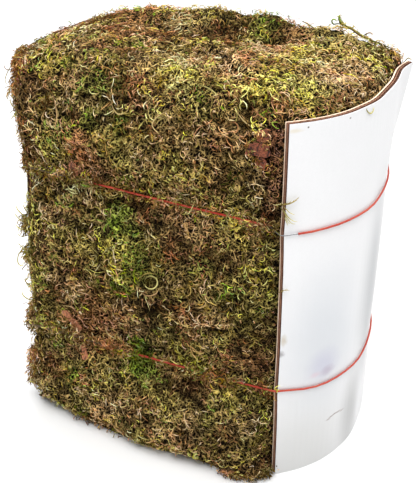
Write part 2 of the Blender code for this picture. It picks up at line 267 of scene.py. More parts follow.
def catmull(points: Array, count: int) -> Array:
    """Points along a smooth line through some given ones.

    Args:
        points: the given points, one a row.
        count: how many evenly timed points to return.

    Returns:
        The points of the line.
    """
    padded = np.vstack([2 * points[0] - points[1], points, 2 * points[-1] - points[-2]])
    time = np.linspace(0, len(points) - 1 - 1e-9, count)
    start = time.astype(int)
    t = (time - start)[:, None]
    a, b, c, d = (padded[start + k] for k in range(4))
    return 0.5 * (2 * b + (c - a) * t + (2 * a - 5 * b + 4 * c - d) * t**2
                  + (3 * b - a - 3 * c + d) * t**3)


# Kinds of moss and where they grow


@dataclass(frozen=True)
class StrandLook:
    """Colours and build of one kind of moss strand."""

    # The root colour is darker than the tip: partly the strand's own browner base, partly painted
    # shade low in the moss.
    root: tuple
    tip: tuple
    length: tuple = (0.007, 0.015)
    girth: float = 0.00052
    curl: tuple = (1.2, 4.2)


class MossKind(Enum):
    """The kinds of strand that the bale is pressed from."""

    OLIVE = StrandLook((60, 44, 16), (172, 153, 84))
    TAN = StrandLook((86, 58, 34), (208, 170, 120), (0.008, 0.016), 0.00052)
    STRAW = StrandLook((104, 82, 46), (220, 194, 134), (0.009, 0.018), 0.00050, (0.8, 3.4))
    LIME = StrandLook((84, 70, 20), (208, 192, 90), (0.006, 0.013), 0.00054)
    GREEN = StrandLook((34, 43, 12), (130, 154, 58), (0.005, 0.012), 0.00056)
    LICHEN = StrandLook((98, 88, 42), (208, 198, 126), (0.008, 0.015), 0.00054)
    RUST = StrandLook((72, 42, 26), (186, 134, 88), (0.006, 0.014), 0.00048)
    BROWN = StrandLook((50, 30, 16), (146, 104, 66), (0.005, 0.012), 0.00048)
    DARK = StrandLook((20, 12, 7), (76, 52, 32), (0.005, 0.010), 0.00048)
    CRUMB = StrandLook((44, 26, 17), (148, 102, 74), (0.003, 0.006), 0.00044, (1.6, 4.6))


KINDS = tuple(MossKind)
OLIVE, TAN, STRAW, LIME, GREEN, LICHEN, RUST, BROWN, DARK, CRUMB = KINDS
LOOKS = [kind.value for kind in KINDS]
MEADOW_MIX = {OLIVE: 0.35, LIME: 0.20, GREEN: 0.13, TAN: 0.15, BROWN: 0.10, LICHEN: 0.07}
EARTHY_MIX = {TAN: 0.32, BROWN: 0.24, RUST: 0.14, OLIVE: 0.18, STRAW: 0.07, LIME: 0.05}


def pick_kinds(draws: Array, mixes: Array) -> Array:
    """The number of the kind that each draw from 0 to 1 falls on in its mix."""
    return (draws[:, None] > mixes.cumsum(1)).sum(1).clip(0, len(KINDS) - 1)


@dataclass(frozen=True)
class Patch:
    """A place where one kind of moss prevails, how bright it is, partly as painted light and shade,
    and how deep it is sunk.
    """

    centre: tuple
    reach: float
    kind: MossKind
    share: float
    tone: float
    sink: float

    @classmethod
    def read(cls, x: int, y: int, z: int, reach: int, kind: MossKind, share: int, tone: int,
             sink: int = 0) -> "Patch":
        """A patch from a row in millimetres, with its share and tone in hundredths."""
        place = parts_of((x, y, z), MILLI)
        return cls(place, reach / MILLI, kind, share / 100, tone / 100, sink / MILLI)

    def fall_at(self, away: float) -> float:
        """How far the patch's pull has fallen this far from its centre: the pull is exp(-fall)."""
        return (away / self.reach / 1.12) ** 3


# Rows 84 to 214 and 17 others were added with a scripted comparison that printed where the blurred
# photograph and render differed most, and both colours there. Their kinds and tones were chosen
# from those colours, and the values of 11 older rows were changed so. The rest were placed one by
# one.
# Many rows' tones paint light and shade as well as colour: low tones and DARK rows darken hollows,
# voids and the trough on the crown as painted shade, and high tones paint light onto moss that lies
# in shade.
PATCHES = tuple(Patch.read(*row) for row in (
    (7, -64, 414, 20, LIME, 50, 120), (97, -38, 423, 26, LIME, 60, 130),
    (69, -17, 423, 12, RUST, 80, 110), (171, 9, 408, 14, RUST, 70, 120),
    (-6, 64, 418, 16, BROWN, 85, 60), (12, 81, 427, 16, BROWN, 60, 70),
    (-109, 17, 421, 16, BROWN, 70, 75), (-137, -89, 350, 18, BROWN, 35, 85),
    (-102, -69, 405, 10, BROWN, 80, 65), (-52, -71, 406, 12, GREEN, 40, 90),
    (-28, -93, 375, 10, GREEN, 60, 80), (-71, -95, 353, 11, RUST, 80, 100),
    (-61, -97, 326, 12, RUST, 90, 95), (-42, -88, 291, 13, BROWN, 60, 115),
    (-12, -90, 286, 12, BROWN, 80, 70), (4, -94, 273, 10, DARK, 50, 80),
    (-8, -107, 231, 14, GREEN, 50, 100), (12, -109, 214, 6, DARK, 100, 40, 8),
    (17, -110, 185, 9, DARK, 80, 50, 4), (56, -100, 254, 13, BROWN, 60, 75),
    (44, -91, 283, 10, RUST, 50, 125), (-90, -108, 128, 16, RUST, 70, 95),
    (-49, -108, 145, 18, RUST, 60, 90), (-70, -107, 101, 12, RUST, 70, 100),
    (-7, -103, 126, 11, GREEN, 80, 85), (-14, -106, 98, 12, GREEN, 95, 110),
    (52, -106, 91, 14, DARK, 60, 65), (124, -95, 160, 14, BROWN, 80, 65),
    (130, -93, 72, 14, BROWN, 60, 75), (134, -90, 13, 16, BROWN, 80, 60),
    (44, -99, 340, 17, LIME, 70, 110), (59, -104, 233, 16, OLIVE, 80, 90),
    (78, -105, 185, 14, TAN, 80, 105), (98, -100, 91, 14, LIME, 50, 100),
    (25, -124, 46, 18, TAN, 50, 115), (75, -95, 365, 10, BROWN, 50, 180),
    (-78, -94, 359, 9, BROWN, 70, 80), (3, -84, 395, 16, STRAW, 40, 110),
    (131, -87, 385, 12, CRUMB, 95, 88), (131, -87, 350, 12, CRUMB, 95, 85, 1),
    (131, -87, 318, 12, CRUMB, 90, 75), (126.8, -89.2, 368, 6.2, DARK, 100, 45, 5),
    (41, 84, 430, 16, GREEN, 60, 75), (-55, 69, 421, 14, STRAW, 70, 110),
    (146, 75, 420, 18, LIME, 40, 125), (133, -88, 183, 10, CRUMB, 70, 70, 2),
    (132, -90, 135, 10, CRUMB, 70, 70), (-39, 30, 421, 20, BROWN, 60, 80, 3),
    (12, 42, 420, 22, BROWN, 60, 75, 3), (64, 55, 417, 18, RUST, 60, 95, 2),
    (-106, -110, 157, 14, RUST, 50, 90), (102, -95, 336, 10, BROWN, 60, 80, 2),
    (-165, 20, 405, 28, BROWN, 50, 80), (-86, 85, 426, 20, OLIVE, 40, 90, -5.8),
    (-54, 86, 427, 16, RUST, 40, 85, -4.8), (-168, -10, 408, 24, OLIVE, 20, 95, 2.4),
    (-166, 44, 410, 22, OLIVE, 20, 95, 2.6), (-150, 78, 417, 18, BROWN, 20, 95, 3),
    (-124, 84, 424, 14, BROWN, 20, 95, 2.2), (-19, 95, 433, 12, OLIVE, 20, 95, -3.6),
    (30, 97, 433, 16, GREEN, 40, 90, -3.6), (50, 96, 433, 10, BROWN, 40, 90, -2),
    (109, -106, 12, 19, BROWN, 35, 95, -8), (126, -100, 12, 15, BROWN, 50, 80, -7.5),
    (132, -86, 382, 11, CRUMB, 100, 170), (132, -86.8, 366, 11, CRUMB, 100, 170),
    (131, -87.5, 350, 11, CRUMB, 100, 170), (129, -89, 340, 10, CRUMB, 90, 100),
    (-96, -89, 374, 9, TAN, 80, 85), (-89, -92, 361, 9, RUST, 85, 90),
    (-81, -95, 348, 11, RUST, 100, 130), (-75, -96, 334, 11, RUST, 100, 130),
    (-74, -92, 318, 10, RUST, 100, 125), (-37, -94, 273, 9, GREEN, 90, 110),
    (-37, -102, 257, 11, GREEN, 90, 120), (-140, -83, 378, 12, TAN, 60, 95),
    (-128, -84, 386, 12, TAN, 70, 100), (100, 87, 427, 15, LICHEN, 50, 95, -4.5),
    (118, 79, 429, 15, LICHEN, 50, 95, -4.5), (169, 107, 408, 12, OLIVE, 50, 90, -5),
    (-152, -108, 3, 20, BROWN, 40, 90, 8), (-150, -107, 40, 12, LIME, 40, 105, -3.5),
    (-150, -98, 235, 14, LIME, 50, 105, -3.5), (107, -20, 423, 13, BROWN, 30, 82),
    (7, -77, 403, 13, BROWN, 65, 66), (-83, 8, 422, 12, RUST, 80, 86),
    (-68, 30, 420, 12, RUST, 80, 78), (152, 86, 418, 10, LICHEN, 30, 135),
    (-124, -95, 264, 10, OLIVE, 30, 145), (81, -96, 263, 10, BROWN, 50, 66),
    (54, -107, 166, 9, BROWN, 50, 68), (1, -70, 408, 14, BROWN, 30, 66),
    (129, -38, 418, 11, LICHEN, 50, 135), (20, -95, 374, 9, TAN, 60, 145),
    (29, -99, 263, 9, BROWN, 50, 66), (159, -37, 408, 9, BROWN, 40, 75),
    (63, 19, 422, 12, TAN, 30, 70), (131, 86, 426, 10, OLIVE, 30, 82),
    (-60, -94, 363, 10, GREEN, 30, 180), (-15, -113, 180, 10, BROWN, 30, 68),
    (-106, -87, 376, 9, BROWN, 40, 74), (-124, -73, 398, 10, BROWN, 30, 78),
    (67, 93, 428, 10, RUST, 30, 78), (-37, -128, 17, 11, OLIVE, 30, 150),
    (147, -29, 414, 10, LICHEN, 30, 140), (153, 40, 416, 11, TAN, 30, 76),
    (-79, -105, 220, 10, OLIVE, 30, 145), (16, 74, 422, 10, BROWN, 30, 150),
    (128, -91, 330, 9, TAN, 30, 145), (-25, -107, 228, 10, LIME, 30, 140),
    (96, 60, 421, 11, TAN, 30, 76), (35, -108, 159, 10, OLIVE, 30, 165),
    (-15, -89, 288, 9, RUST, 30, 150), (28, -128, 19, 10, TAN, 40, 150),
    (-53, -85, 387, 9, GREEN, 30, 145), (-110, -98, 253, 10, TAN, 30, 185),
    (-50, -64, 412, 10, OLIVE, 30, 72), (-155, -82, 352, 12, BROWN, 30, 70),
    (-7, -97, 367, 10, BROWN, 30, 66), (7, -129, 31, 10, BROWN, 30, 70),
    (133, 31, 420, 13, TAN, 40, 142), (29, -109, 198, 10, BROWN, 30, 62),
    (150, 96, 419, 11, LICHEN, 30, 135), (136, -86, 6, 10, RUST, 40, 150),
    (33, -100, 352, 10, OLIVE, 30, 142), (90, -86, 391, 10, TAN, 30, 138),
    (46, -106, 93, 10, BROWN, 30, 180), (35, -109, 187, 9, BROWN, 30, 72),
    (70, -104, 154, 9, OLIVE, 30, 72), (43, -104, 243, 10, OLIVE, 30, 148),
    (19, -95, 316, 10, OLIVE, 30, 138), (-134, -98, 249, 9, LICHEN, 30, 140),
    (-124, -86, 301, 9, OLIVE, 30, 72), (-85, -80, 394, 10, OLIVE, 30, 76),
    (79, -69, 411, 11, RUST, 60, 125), (108, 72, 426, 11, TAN, 65, 100),
    (-45, -98, 339, 10, GREEN, 60, 115), (-28, -94, 274, 11, GREEN, 65, 120),
    (-67, -94, 365, 11, GREEN, 60, 115), (-45, -87, 296, 10, OLIVE, 90, 100),
    (-33, -96, 365, 11, GREEN, 60, 115), (129, -88, 108, 10, OLIVE, 60, 95),
    (-49, -103, 243, 9, GREEN, 55, 125), (-22, -6, 422, 12, TAN, 45, 100),
    (7, -101, 112, 10, OLIVE, 60, 100), (37, -100, 111, 10, OLIVE, 60, 100),
    (81, -96, 328, 10, BROWN, 60, 175), (159, 87, 414, 10, TAN, 45, 100),
    (-114, -90, 358, 9, TAN, 55, 95), (-57, -100, 256, 8, TAN, 50, 105),
    (-98, -120, 55, 32, OLIVE, 10, 114), (99, -90, 284, 9, LIME, 30, 150),
    (83, -96, 329, 9, BROWN, 30, 140), (27, -103, 248, 9, BROWN, 30, 70),
    (-155, -42, 408, 11, OLIVE, 30, 80), (-40, -126, 45, 28, OLIVE, 10, 108),
    (-27, -74, 404, 10, OLIVE, 75, 100), (48, -108, 191, 10, OLIVE, 60, 100),
    (-107, -64, 409, 10, GREEN, 50, 105), (127, -52, 416, 10, TAN, 50, 100),
    (154, -62, 401, 10, TAN, 50, 100), (64, -104, 232, 10, GREEN, 50, 105),
    (-8, -109, 214, 10, GREEN, 50, 105), (109, -94, 349, 9, TAN, 30, 150),
    (-87, -123, 27, 10, OLIVE, 30, 145), (128, 82, 427, 10, OLIVE, 30, 80),
    (-22, -89, 288, 9, RUST, 30, 148), (-119, -107, 201, 10, OLIVE, 30, 140),
    (75, -105, 173, 10, OLIVE, 30, 145), (128, -80, 405, 9, BROWN, 30, 72),
    (-62, -109, 96, 10, OLIVE, 30, 138), (100, 65, 422, 10, TAN, 30, 82),
    (19, -90, 284, 9, TAN, 30, 142), (-43, -125, 42, 10, TAN, 30, 138),
    (86, -98, 100, 10, OLIVE, 30, 140), (27, -96, 370, 9, TAN, 30, 140),
    (125, -92, 261, 9, BROWN, 60, 65), (132, -78, 406, 9, BROWN, 50, 72),
    (153, 37, 416, 12, TAN, 30, 82), (-124, -90, 357, 10, OLIVE, 30, 135),
    (-81, 21, 422, 13, RUST, 50, 80), (-108, -120, 59, 11, LIME, 35, 250),
    (-107, 78, 425, 12, BROWN, 40, 76), (-76, -50, 419, 12, OLIVE, 40, 78),
    (-56, -97, 325, 10, RUST, 50, 180), (162, -22, 409, 10, BROWN, 50, 62),
    (-50, -65, 412, 11, OLIVE, 30, 72), (156, -3, 413, 10, TAN, 30, 86),
    (119, -96, 235, 10, BROWN, 40, 72), (121, 71, 428, 12, OLIVE, 40, 74),
    (-62, -127, 18, 10, LICHEN, 30, 125), (-53, 58, 417, 12, RUST, 40, 80),
    (50, -107, 196, 10, BROWN, 50, 72), (-126, 60, 423, 17, RUST, 55, 56),
    (-139, 42, 420, 19, BROWN, 55, 42), (75, -42, 422, 11, TAN, 80, 170),
    (51, -29, 422, 10, TAN, 75, 150), (-149, -99, 218, 11, BROWN, 40, 75),
    (128, -90, 112, 11, CRUMB, 80, 58), (118, -94, 138, 13, BROWN, 80, 65),
    (129, 29, 420, 13, STRAW, 60, 125), (146, -31, 414, 12, LICHEN, 50, 130),
    (-136, -120, 26, 12, TAN, 60, 135), (36, -109, 186, 10, BROWN, 70, 65),
    (-52, -127, 21, 18, TAN, 50, 195), (87, -98, 101, 10, LIME, 40, 160),
    (20, -96, 316, 11, OLIVE, 30, 190), (-60, -109, 96, 11, OLIVE, 50, 170),
    (107, -94, 342, 10, TAN, 45, 155), (-79, -105, 221, 11, OLIVE, 30, 125),
    (-121, -107, 200, 11, OLIVE, 30, 170), (-20, -90, 384, 10, BROWN, 60, 55),
    (-64, -31, 421, 13, BROWN, 55, 84), (-26, 42, 420, 18, BROWN, 50, 50),
    (142, 8, 417, 20, TAN, 85, 128), (163, 46, 412, 18, TAN, 70, 120),
    (179, 10, 403, 11, TAN, 80, 90), (142, -40, 414, 15, LIME, 80, 130),
    (102, -58, 419, 13, LIME, 80, 115), (107, 26, 423, 15, LIME, 85, 130),
    (61, 1, 423, 9, RUST, 90, 100), (62, -29, 423, 14, TAN, 85, 125),
    (108, -77, 401, 13, BROWN, 60, 115), (72, 84, 423, 13, RUST, 80, 62),
    (107, 87, 430, 14, OLIVE, 80, 95), (6, 42, 420, 10, RUST, 70, 85),
    (-5, 79, 427, 14, OLIVE, 60, 65), (-97, 59, 418, 17, RUST, 85, 80),
    (-90, -26, 421, 14, RUST, 90, 86), (-144, 6, 417, 16, LICHEN, 50, 85),
    (-126, -66, 406, 14, LIME, 60, 95), (-66, -78, 397, 12, GREEN, 45, 105),
    (-56, -86, 385, 10, GREEN, 45, 100), (-96, -75, 398, 9, TAN, 80, 100),
    (-20, -75, 403, 8, BROWN, 60, 80), (-13, -85, 393, 9, RUST, 80, 80),
    (8, -36, 421, 10, LICHEN, 80, 115), (24, -70, 410, 10, LICHEN, 75, 120),
    (-141, -82, 380, 12, BROWN, 60, 85), (-142, -76, 393, 10, BROWN, 70, 70),
    (-73, -110, 148, 16, RUST, 85, 95), (-41, -110, 158, 15, RUST, 80, 90),
    (-45, -104, 120, 15, RUST, 80, 90), (-6, -103, 105, 15, GREEN, 90, 110),
    (3, -112, 178, 12, DARK, 75, 55), (-25, -111, 195, 12, GREEN, 70, 80),
    (-122, -119, 68, 11, BROWN, 90, 60), (-141, -118, 35, 10, TAN, 80, 95),
    (-95, -121, 58, 8, GREEN, 85, 100), (-75, -125, 22, 7, GREEN, 90, 80),
    (-69, -123, 42, 14, TAN, 80, 95), (23, -121, 61, 18, LIME, 45, 110),
    (-30, -101, 260, 12, GREEN, 95, 150), (-32, -106, 237, 14, LIME, 90, 125),
    (-36, -108, 216, 10, LIME, 70, 110), (-83, -108, 200, 14, RUST, 70, 95),
    (-62, -110, 170, 12, RUST, 70, 90), (30, -102, 252, 12, BROWN, 60, 75),
    (26, -109, 160, 14, DARK, 50, 70), (64, -105, 158, 12, TAN, 60, 100),
    (48, -97, 360, 10, TAN, 70, 100), (81, -96, 344, 10, BROWN, 50, 120),
    (9, -96, 371, 9, BROWN, 50, 90), (58, -92, 278, 13, TAN, 65, 140),
    (26, -91, 284, 11, RUST, 60, 120), (97, -90, 284, 13, LIME, 60, 260),
    (109, -95, 262, 9, TAN, 60, 120), (94, -102, 212, 10, GREEN, 25, 180),
    (55, -101, 102, 14, BROWN, 70, 70), (106, -99, 157, 14, BROWN, 60, 75),
    (97, -112, 46, 16, BROWN, 50, 80), (121, -102, 62, 14, TAN, 60, 100),
    (58, -118, 55, 12, TAN, 60, 105), (-97, -94, 350, 12, GREEN, 70, 105),
    (-120, -91, 323, 10, LIME, 70, 100), (-107, -90, 280, 12, TAN, 60, 90),
    (-123, -99, 251, 10, TAN, 70, 100), (-124, -101, 228, 10, RUST, 60, 90),
    (-87, -103, 240, 10, OLIVE, 40, 110), (-79, -97, 261, 10, BROWN, 60, 75),
))


@dataclass(frozen=True)
class TieRun:
    """A stretch of a tie, whether it lies bare, and which way is out from the bale there."""

    start: Array
    end: Array
    bare: bool
    out: Array
    cover: float
    bank: float
    length: tuple

    @classmethod
    def read(cls, start: tuple, end: tuple, bare: bool = False, corner: tuple = ()) -> "TieRun":
        """A run from a row.

        Args:
            start: its first point, in tenths of a millimetre.
            end: its last point.
            bare: whether the tie shows there.
            corner: the way out, where the run goes round a tight corner.

        Returns:
            The run.
        """
        start, end = (np.array(point) for point in read_line((start, end)))
        if corner:
            return cls(start, end, bare, np.array(corner), 0.0016, 0.0, (0.003, 0.007))
        return cls(start, end, bare, np.array((0.0, -1.0, 0.0)), 0.0026, 0.0020, (0.005, 0.012))

    def distance(self, places: Array) -> Array:
        """How far each place is from the stretch."""
        run = self.end - self.start
        share = np.clip(((places - self.start) @ run) / (run @ run), 0, 1)
        return np.linalg.norm(places - self.start - share[:, None] * run, axis=1)


TIE_RUNS = tuple(TieRun.read(*row) for row in (
    ((-1790, -520, 2985), (-1530, -865, 2985), False, (-0.75, -0.66, 0.0)),
    ((-1530, -880, 2985), (-600, -909, 2982)),
    ((-600, -909, 2982), (1200, -909, 2988), True),
    ((1200, -909, 2988), (1400, -905, 2950)),
    ((-1640, -860, 1140), (-1540, -1100, 1140), False, (-0.9, -0.4, 0.0)),
    ((-1540, -1110, 1140), (-90, -1049, 1140)),
    ((-90, -1049, 1140), (460, -1015, 1140), True),
    ((460, -1015, 1140), (1000, -975, 1138)),
    ((1000, -975, 1138), (1430, -915, 1130), True),
))


# Shapes that strands are bent from


@dataclass
class StrandForm:
    """A straight strand along +Z from 0 to 1, and the shade of each of its points."""

    points: Array
    faces: Array
    shade: Array

    @classmethod
    def from_shape(cls, shape: Shape) -> "StrandForm":
        """Reads a bmesh whose points' shades are in a float layer."""
        bmesh.ops.triangulate(shape, faces=shape.faces)
        points, _, faces = arrays_of(shape)
        layer = shape.verts.layers.float["shade"]
        shade = np.array([v[layer] for v in shape.verts])
        shape.free()
        return cls(points, faces, shade)

    @staticmethod
    def spindle(spans: int, thickness: float) -> tuple:
        """Makes a closed three-sided strand that tapers to both ends.

        Args:
            spans: how many stretches it has from end to end.
            thickness: its radius at the middle.

        Returns:
            Its bmesh and the layer of its points' shades.
        """
        shape = bmesh.new()
        layer = shape.verts.layers.float.new("shade")
        bmesh.ops.create_uvsphere(shape, u_segments=3, v_segments=spans, radius=1.0)
        for vertex in shape.verts:
            height = 1 - math.acos(max(-1.0, min(1.0, vertex.co.z))) / math.pi
            girth = thickness * (math.sin(math.pi * (0.06 + 0.9 * height)) ** 0.6)
            around = Vector((vertex.co.x, vertex.co.y))
            around = around.normalized() * girth if around.length > 1e-4 else around * 0
            vertex.co = (around.x, around.y, height)
            vertex[layer] = vertex.co.z
        return shape, layer

    @classmethod
    def curl(cls, spans: int = 4) -> "StrandForm":
        """A plain strand whose radius is 1."""
        return cls.from_shape(cls.spindle(spans, 1.0)[0])

    @classmethod
    def flake(cls) -> "StrandForm":
        """A short flat bit of bark or leaf."""
        form = cls.curl()
        form.points[:, 1] *= 0.25
        form.shade[:] = 1.0
        return form

    @classmethod
    def frond(cls, leaves: int, leaf_length: float, girth: float) -> "StrandForm":
        """A feathered strand. All its sizes are shares of its length.

        Args:
            leaves: how many side leaves it has.
            leaf_length: the longest leaf.
            girth: the stem's radius.

        Returns:
            The form.
        """
        shape, layer = cls.spindle(5, girth)
        for leaf in range(leaves):
            along = 0.12 + 0.80 * leaf / leaves
            length = leaf_length * (0.45 + 0.55 * math.sin(math.pi * min(along + 0.15, 1.0)))
            made = bmesh.ops.create_cone(shape, cap_ends=True, segments=3, radius1=girth * 0.62,
                                         radius2=0.0, depth=length)
            side = 1 if leaf % 2 else -1
            lean = math.radians(46 - 14 * along) * side
            lift = math.radians(18 if leaf % 3 else -14)
            turn = Matrix.Rotation(lean, 4, "Y") @ Matrix.Rotation(lift, 4, "X")
            foot = Vector((0, 0, along))
            move = Matrix.Translation(foot) @ turn @ Matrix.Translation((0, 0, length / 2))
            bmesh.ops.transform(shape, matrix=move, verts=made["verts"])
            for vertex in made["verts"]:
                reach = (vertex.co - foot).length / length
                vertex[layer] = min(1.0, 0.35 + 0.4 * along + 0.35 * reach)
        bmesh.ops.remove_doubles(shape, verts=shape.verts, dist=1e-7)
        return cls.from_shape(shape)


class StrandBatch:
    """Many strands of one form, gathered to go into one mesh."""

    def __init__(self, form: StrandForm) -> None:
        """Starts an empty batch."""
        self.form = form
        self.points: list[Array] = []
        self.tints: list[Array] = []

    def add(self, points: Array, tints: Array) -> "StrandBatch":
        """Adds strands: their points and the points' linear colours."""
        self.points.append(points)
        self.tints.append(tints)
        return self


def joined_mesh(name: str, batches: list) -> Mesh:
    """Joins batches of strands into one mesh with a tint at each point.

    Args:
        name: the mesh's name.
        batches: the StrandBatch objects that go in it.

    Returns:
        The mesh.
    """
    places, tints, corners, offset = [], [], [], 0
    for batch in batches:
        for points, tint in zip(batch.points, batch.tints):
            if not len(points):
                continue
            count, size = points.shape[:2]
            places.append(points.reshape(-1, 3))
            tints.append(tint.reshape(-1, 3))
            starts = offset + np.arange(count) * size
            corners.append((batch.form.faces[None] + starts[:, None, None]).reshape(-1, 3))
            offset += count * size
    place, tint, corner = np.vstack(places), np.vstack(tints), np.vstack(corners)
    mesh = bpy.data.meshes.new(name)
    mesh.vertices.add(len(place))
    mesh.vertices.foreach_set("co", place.astype(np.float32).ravel())
    mesh.loops.add(corner.size)
    mesh.loops.foreach_set("vertex_index", corner.astype(np.int32).ravel())
    mesh.polygons.add(len(corner))
    mesh.polygons.foreach_set("loop_start", np.arange(0, corner.size, 3, dtype=np.int32))
    mesh.update(calc_edges=True)
    mesh.validate()
    set_tint(mesh, tint)
    mesh.shade_smooth()
    return mesh


@dataclass
class Bends:
    """How a group of strands is bent: one row or number for each strand."""

    start: Array
    ahead: Array
    inward: Array
    length: Array
    curl: Array
    wave: Array
    phase: Array
    girth: Array

    def apply(self, form: StrandForm) -> Array:
        """Bends a form along every strand.

        Args:
            form: the straight form.

        Returns:
            The points: strand, point, axis.
        """
        t = form.points[None, :, 2]
        angle = self.curl[:, None] * t
        length = (self.length / self.curl)[:, None, None]
        ahead, inward = self.ahead[:, None], self.inward[:, None]
        side = np.cross(self.ahead, self.inward)[:, None]
        sway = (self.wave[:, None] * np.sin(TURN * (1.3 * t + self.phase[:, None]))
                * np.minimum(t * 4, 1.0))[..., None]
        sine, cosine = np.sin(angle)[..., None], np.cos(angle)[..., None]
        place = (self.start[:, None] + length * (sine * ahead + (1 - cosine) * inward)
                 + sway * side)
        normal = -sine * ahead + cosine * inward
        knobs = np.sin(TURN * (2.3 * t + 7 * self.phase[:, None]))
        girth = (self.girth[:, None] * (1 + 0.28 * knobs))[..., None]
        across = form.points[None, :, 0, None] * girth
        beside = form.points[None, :, 1, None] * girth
        return place + across * side + beside * normal


def bend_on_line(form: StrandForm, line: Array, girth: float) -> Array:
    """Bends a form along a line of its own.

    Args:
        form: the straight form.
        line: the line's points, one a row.
        girth: what the form's cross sizes are multiplied by.

    Returns:
        The points: 1, point, axis.
    """
    smooth = catmull(line, 40)
    ahead = unit(np.gradient(smooth, axis=0))
    side = np.zeros_like(ahead)
    here = np.cross(ahead[0], (0.3, 0.2, 0.9))
    for i, direction in enumerate(ahead):
        here = here - direction * here.dot(direction)
        here = here / np.linalg.norm(here)
        side[i] = here
    fine = form.points[:, 2] * (len(smooth) - 1)
    at = np.clip(fine.round().astype(int), 0, len(smooth) - 1)
    low = np.clip(np.floor(fine).astype(int), 0, len(smooth) - 2)
    part = (fine - low)[:, None]
    place = smooth[low] * (1 - part) + smooth[low + 1] * part
    other = np.cross(ahead[at], side[at])
    across, beside = form.points[:, :1] * girth, form.points[:, 1:2] * girth
    return (place + across * side[at] + beside * other)[None]


# Finishes


@dataclass(frozen=True)
class SharedEffects:
    """Node groups that several finishes use."""

    tangle: Tree
    drift: Tree
    spot: Tree

    @classmethod
    def build(cls) -> "SharedEffects":
        """Makes the groups once."""
        return cls(cls.make_tangle(), cls.make_drift(), cls.make_spot())

    @staticmethod
    def make_tangle() -> Tree:
        """Thin winding lines in three depths, as of strands that lie across each other."""
        group, given, result = new_group(
            "strand tangle", {"Scale": 330.0, "Width": 0.06, "Twist": 1.6},
            ("Upper", "Middle", "Lower", "Height"))
        lines = []
        for step, scale in enumerate((1.0, 1.16, 1.35)):
            shift = (step * 3.7, step * 1.3, step * 2.9)
            moved = add_node(group, "VectorMath", {0: given["Vector"], 1: shift}).outputs[0]
            size = add_math(group, "MULTIPLY", given["Scale"], scale)
            field = add_node(group, "TexNoise", {"Vector": moved, "Scale": size, "Detail": 0.0,
                                                 "Distortion": given["Twist"]}).outputs[0]
            off = add_math(group, "ABSOLUTE", add_math(group, "SUBTRACT", field, 0.5))
            share = add_math(group, "DIVIDE", off, given["Width"])
            lines.append(add_math(group, "SUBTRACT", 1.3, share, clamp=True))
            group.links.new(lines[-1], result[step])
        height = lines[0]
        for line, level in ((lines[1], 0.7), (lines[2], 0.35)):
            height = add_math(group, "MAXIMUM", height, add_math(group, "MULTIPLY", line, level))
        group.links.new(height, result["Height"])
        return group

    @staticmethod
    def make_drift() -> Tree:
        """A slow and a fine change of tone round 1, and the fine one alone."""
        group, given, result = new_group(
            "tone drift", {"Scale": 60.0, "Fine Scale": 900.0, "Amount": 0.3}, ("Tone", "Fine"))
        slow, fine = (add_node(group, "TexNoise", {"Vector": given["Vector"], "Scale": given[scale],
                                                   "Detail": detail}).outputs[0]
                      for scale, detail in (("Scale", 3.0), ("Fine Scale", 2.0)))
        off = add_math(group, "SUBTRACT", add_math(group, "ADD", slow, fine), 1.0)
        swing = add_math(group, "MULTIPLY", off, given["Amount"])
        group.links.new(add_math(group, "ADD", swing, 1.0), result["Tone"])
        group.links.new(fine, result["Fine"])
        return group

    @staticmethod
    def make_spot() -> Tree:
        """A soft round spot, 1 at its centre, in coordinates where its radius is 1."""
        group, given, result = new_group("soft spot", {"Ragged": 0.5, "Strength": 1.0}, ("Mask",))
        place = given["Vector"]
        length = add_node(group, "VectorMath", {0: place}, operation="LENGTH").outputs["Value"]
        rough = add_node(group, "TexNoise", {"Vector": place, "Scale": 2.2, "Detail": 4.0})
        off = add_math(group, "SUBTRACT", rough.outputs[0], 0.5)
        far = add_math(group, "ADD", length, add_math(group, "MULTIPLY", off, given["Ragged"]))
        span = {"Value": far, "From Min": 1.0, "From Max": 0.1, "To Min": 0.0,
                "To Max": given["Strength"]}
        fall = add_node(group, "MapRange", span, interpolation_type="SMOOTHSTEP")
        group.links.new(fall.outputs[0], result["Mask"])
        return group


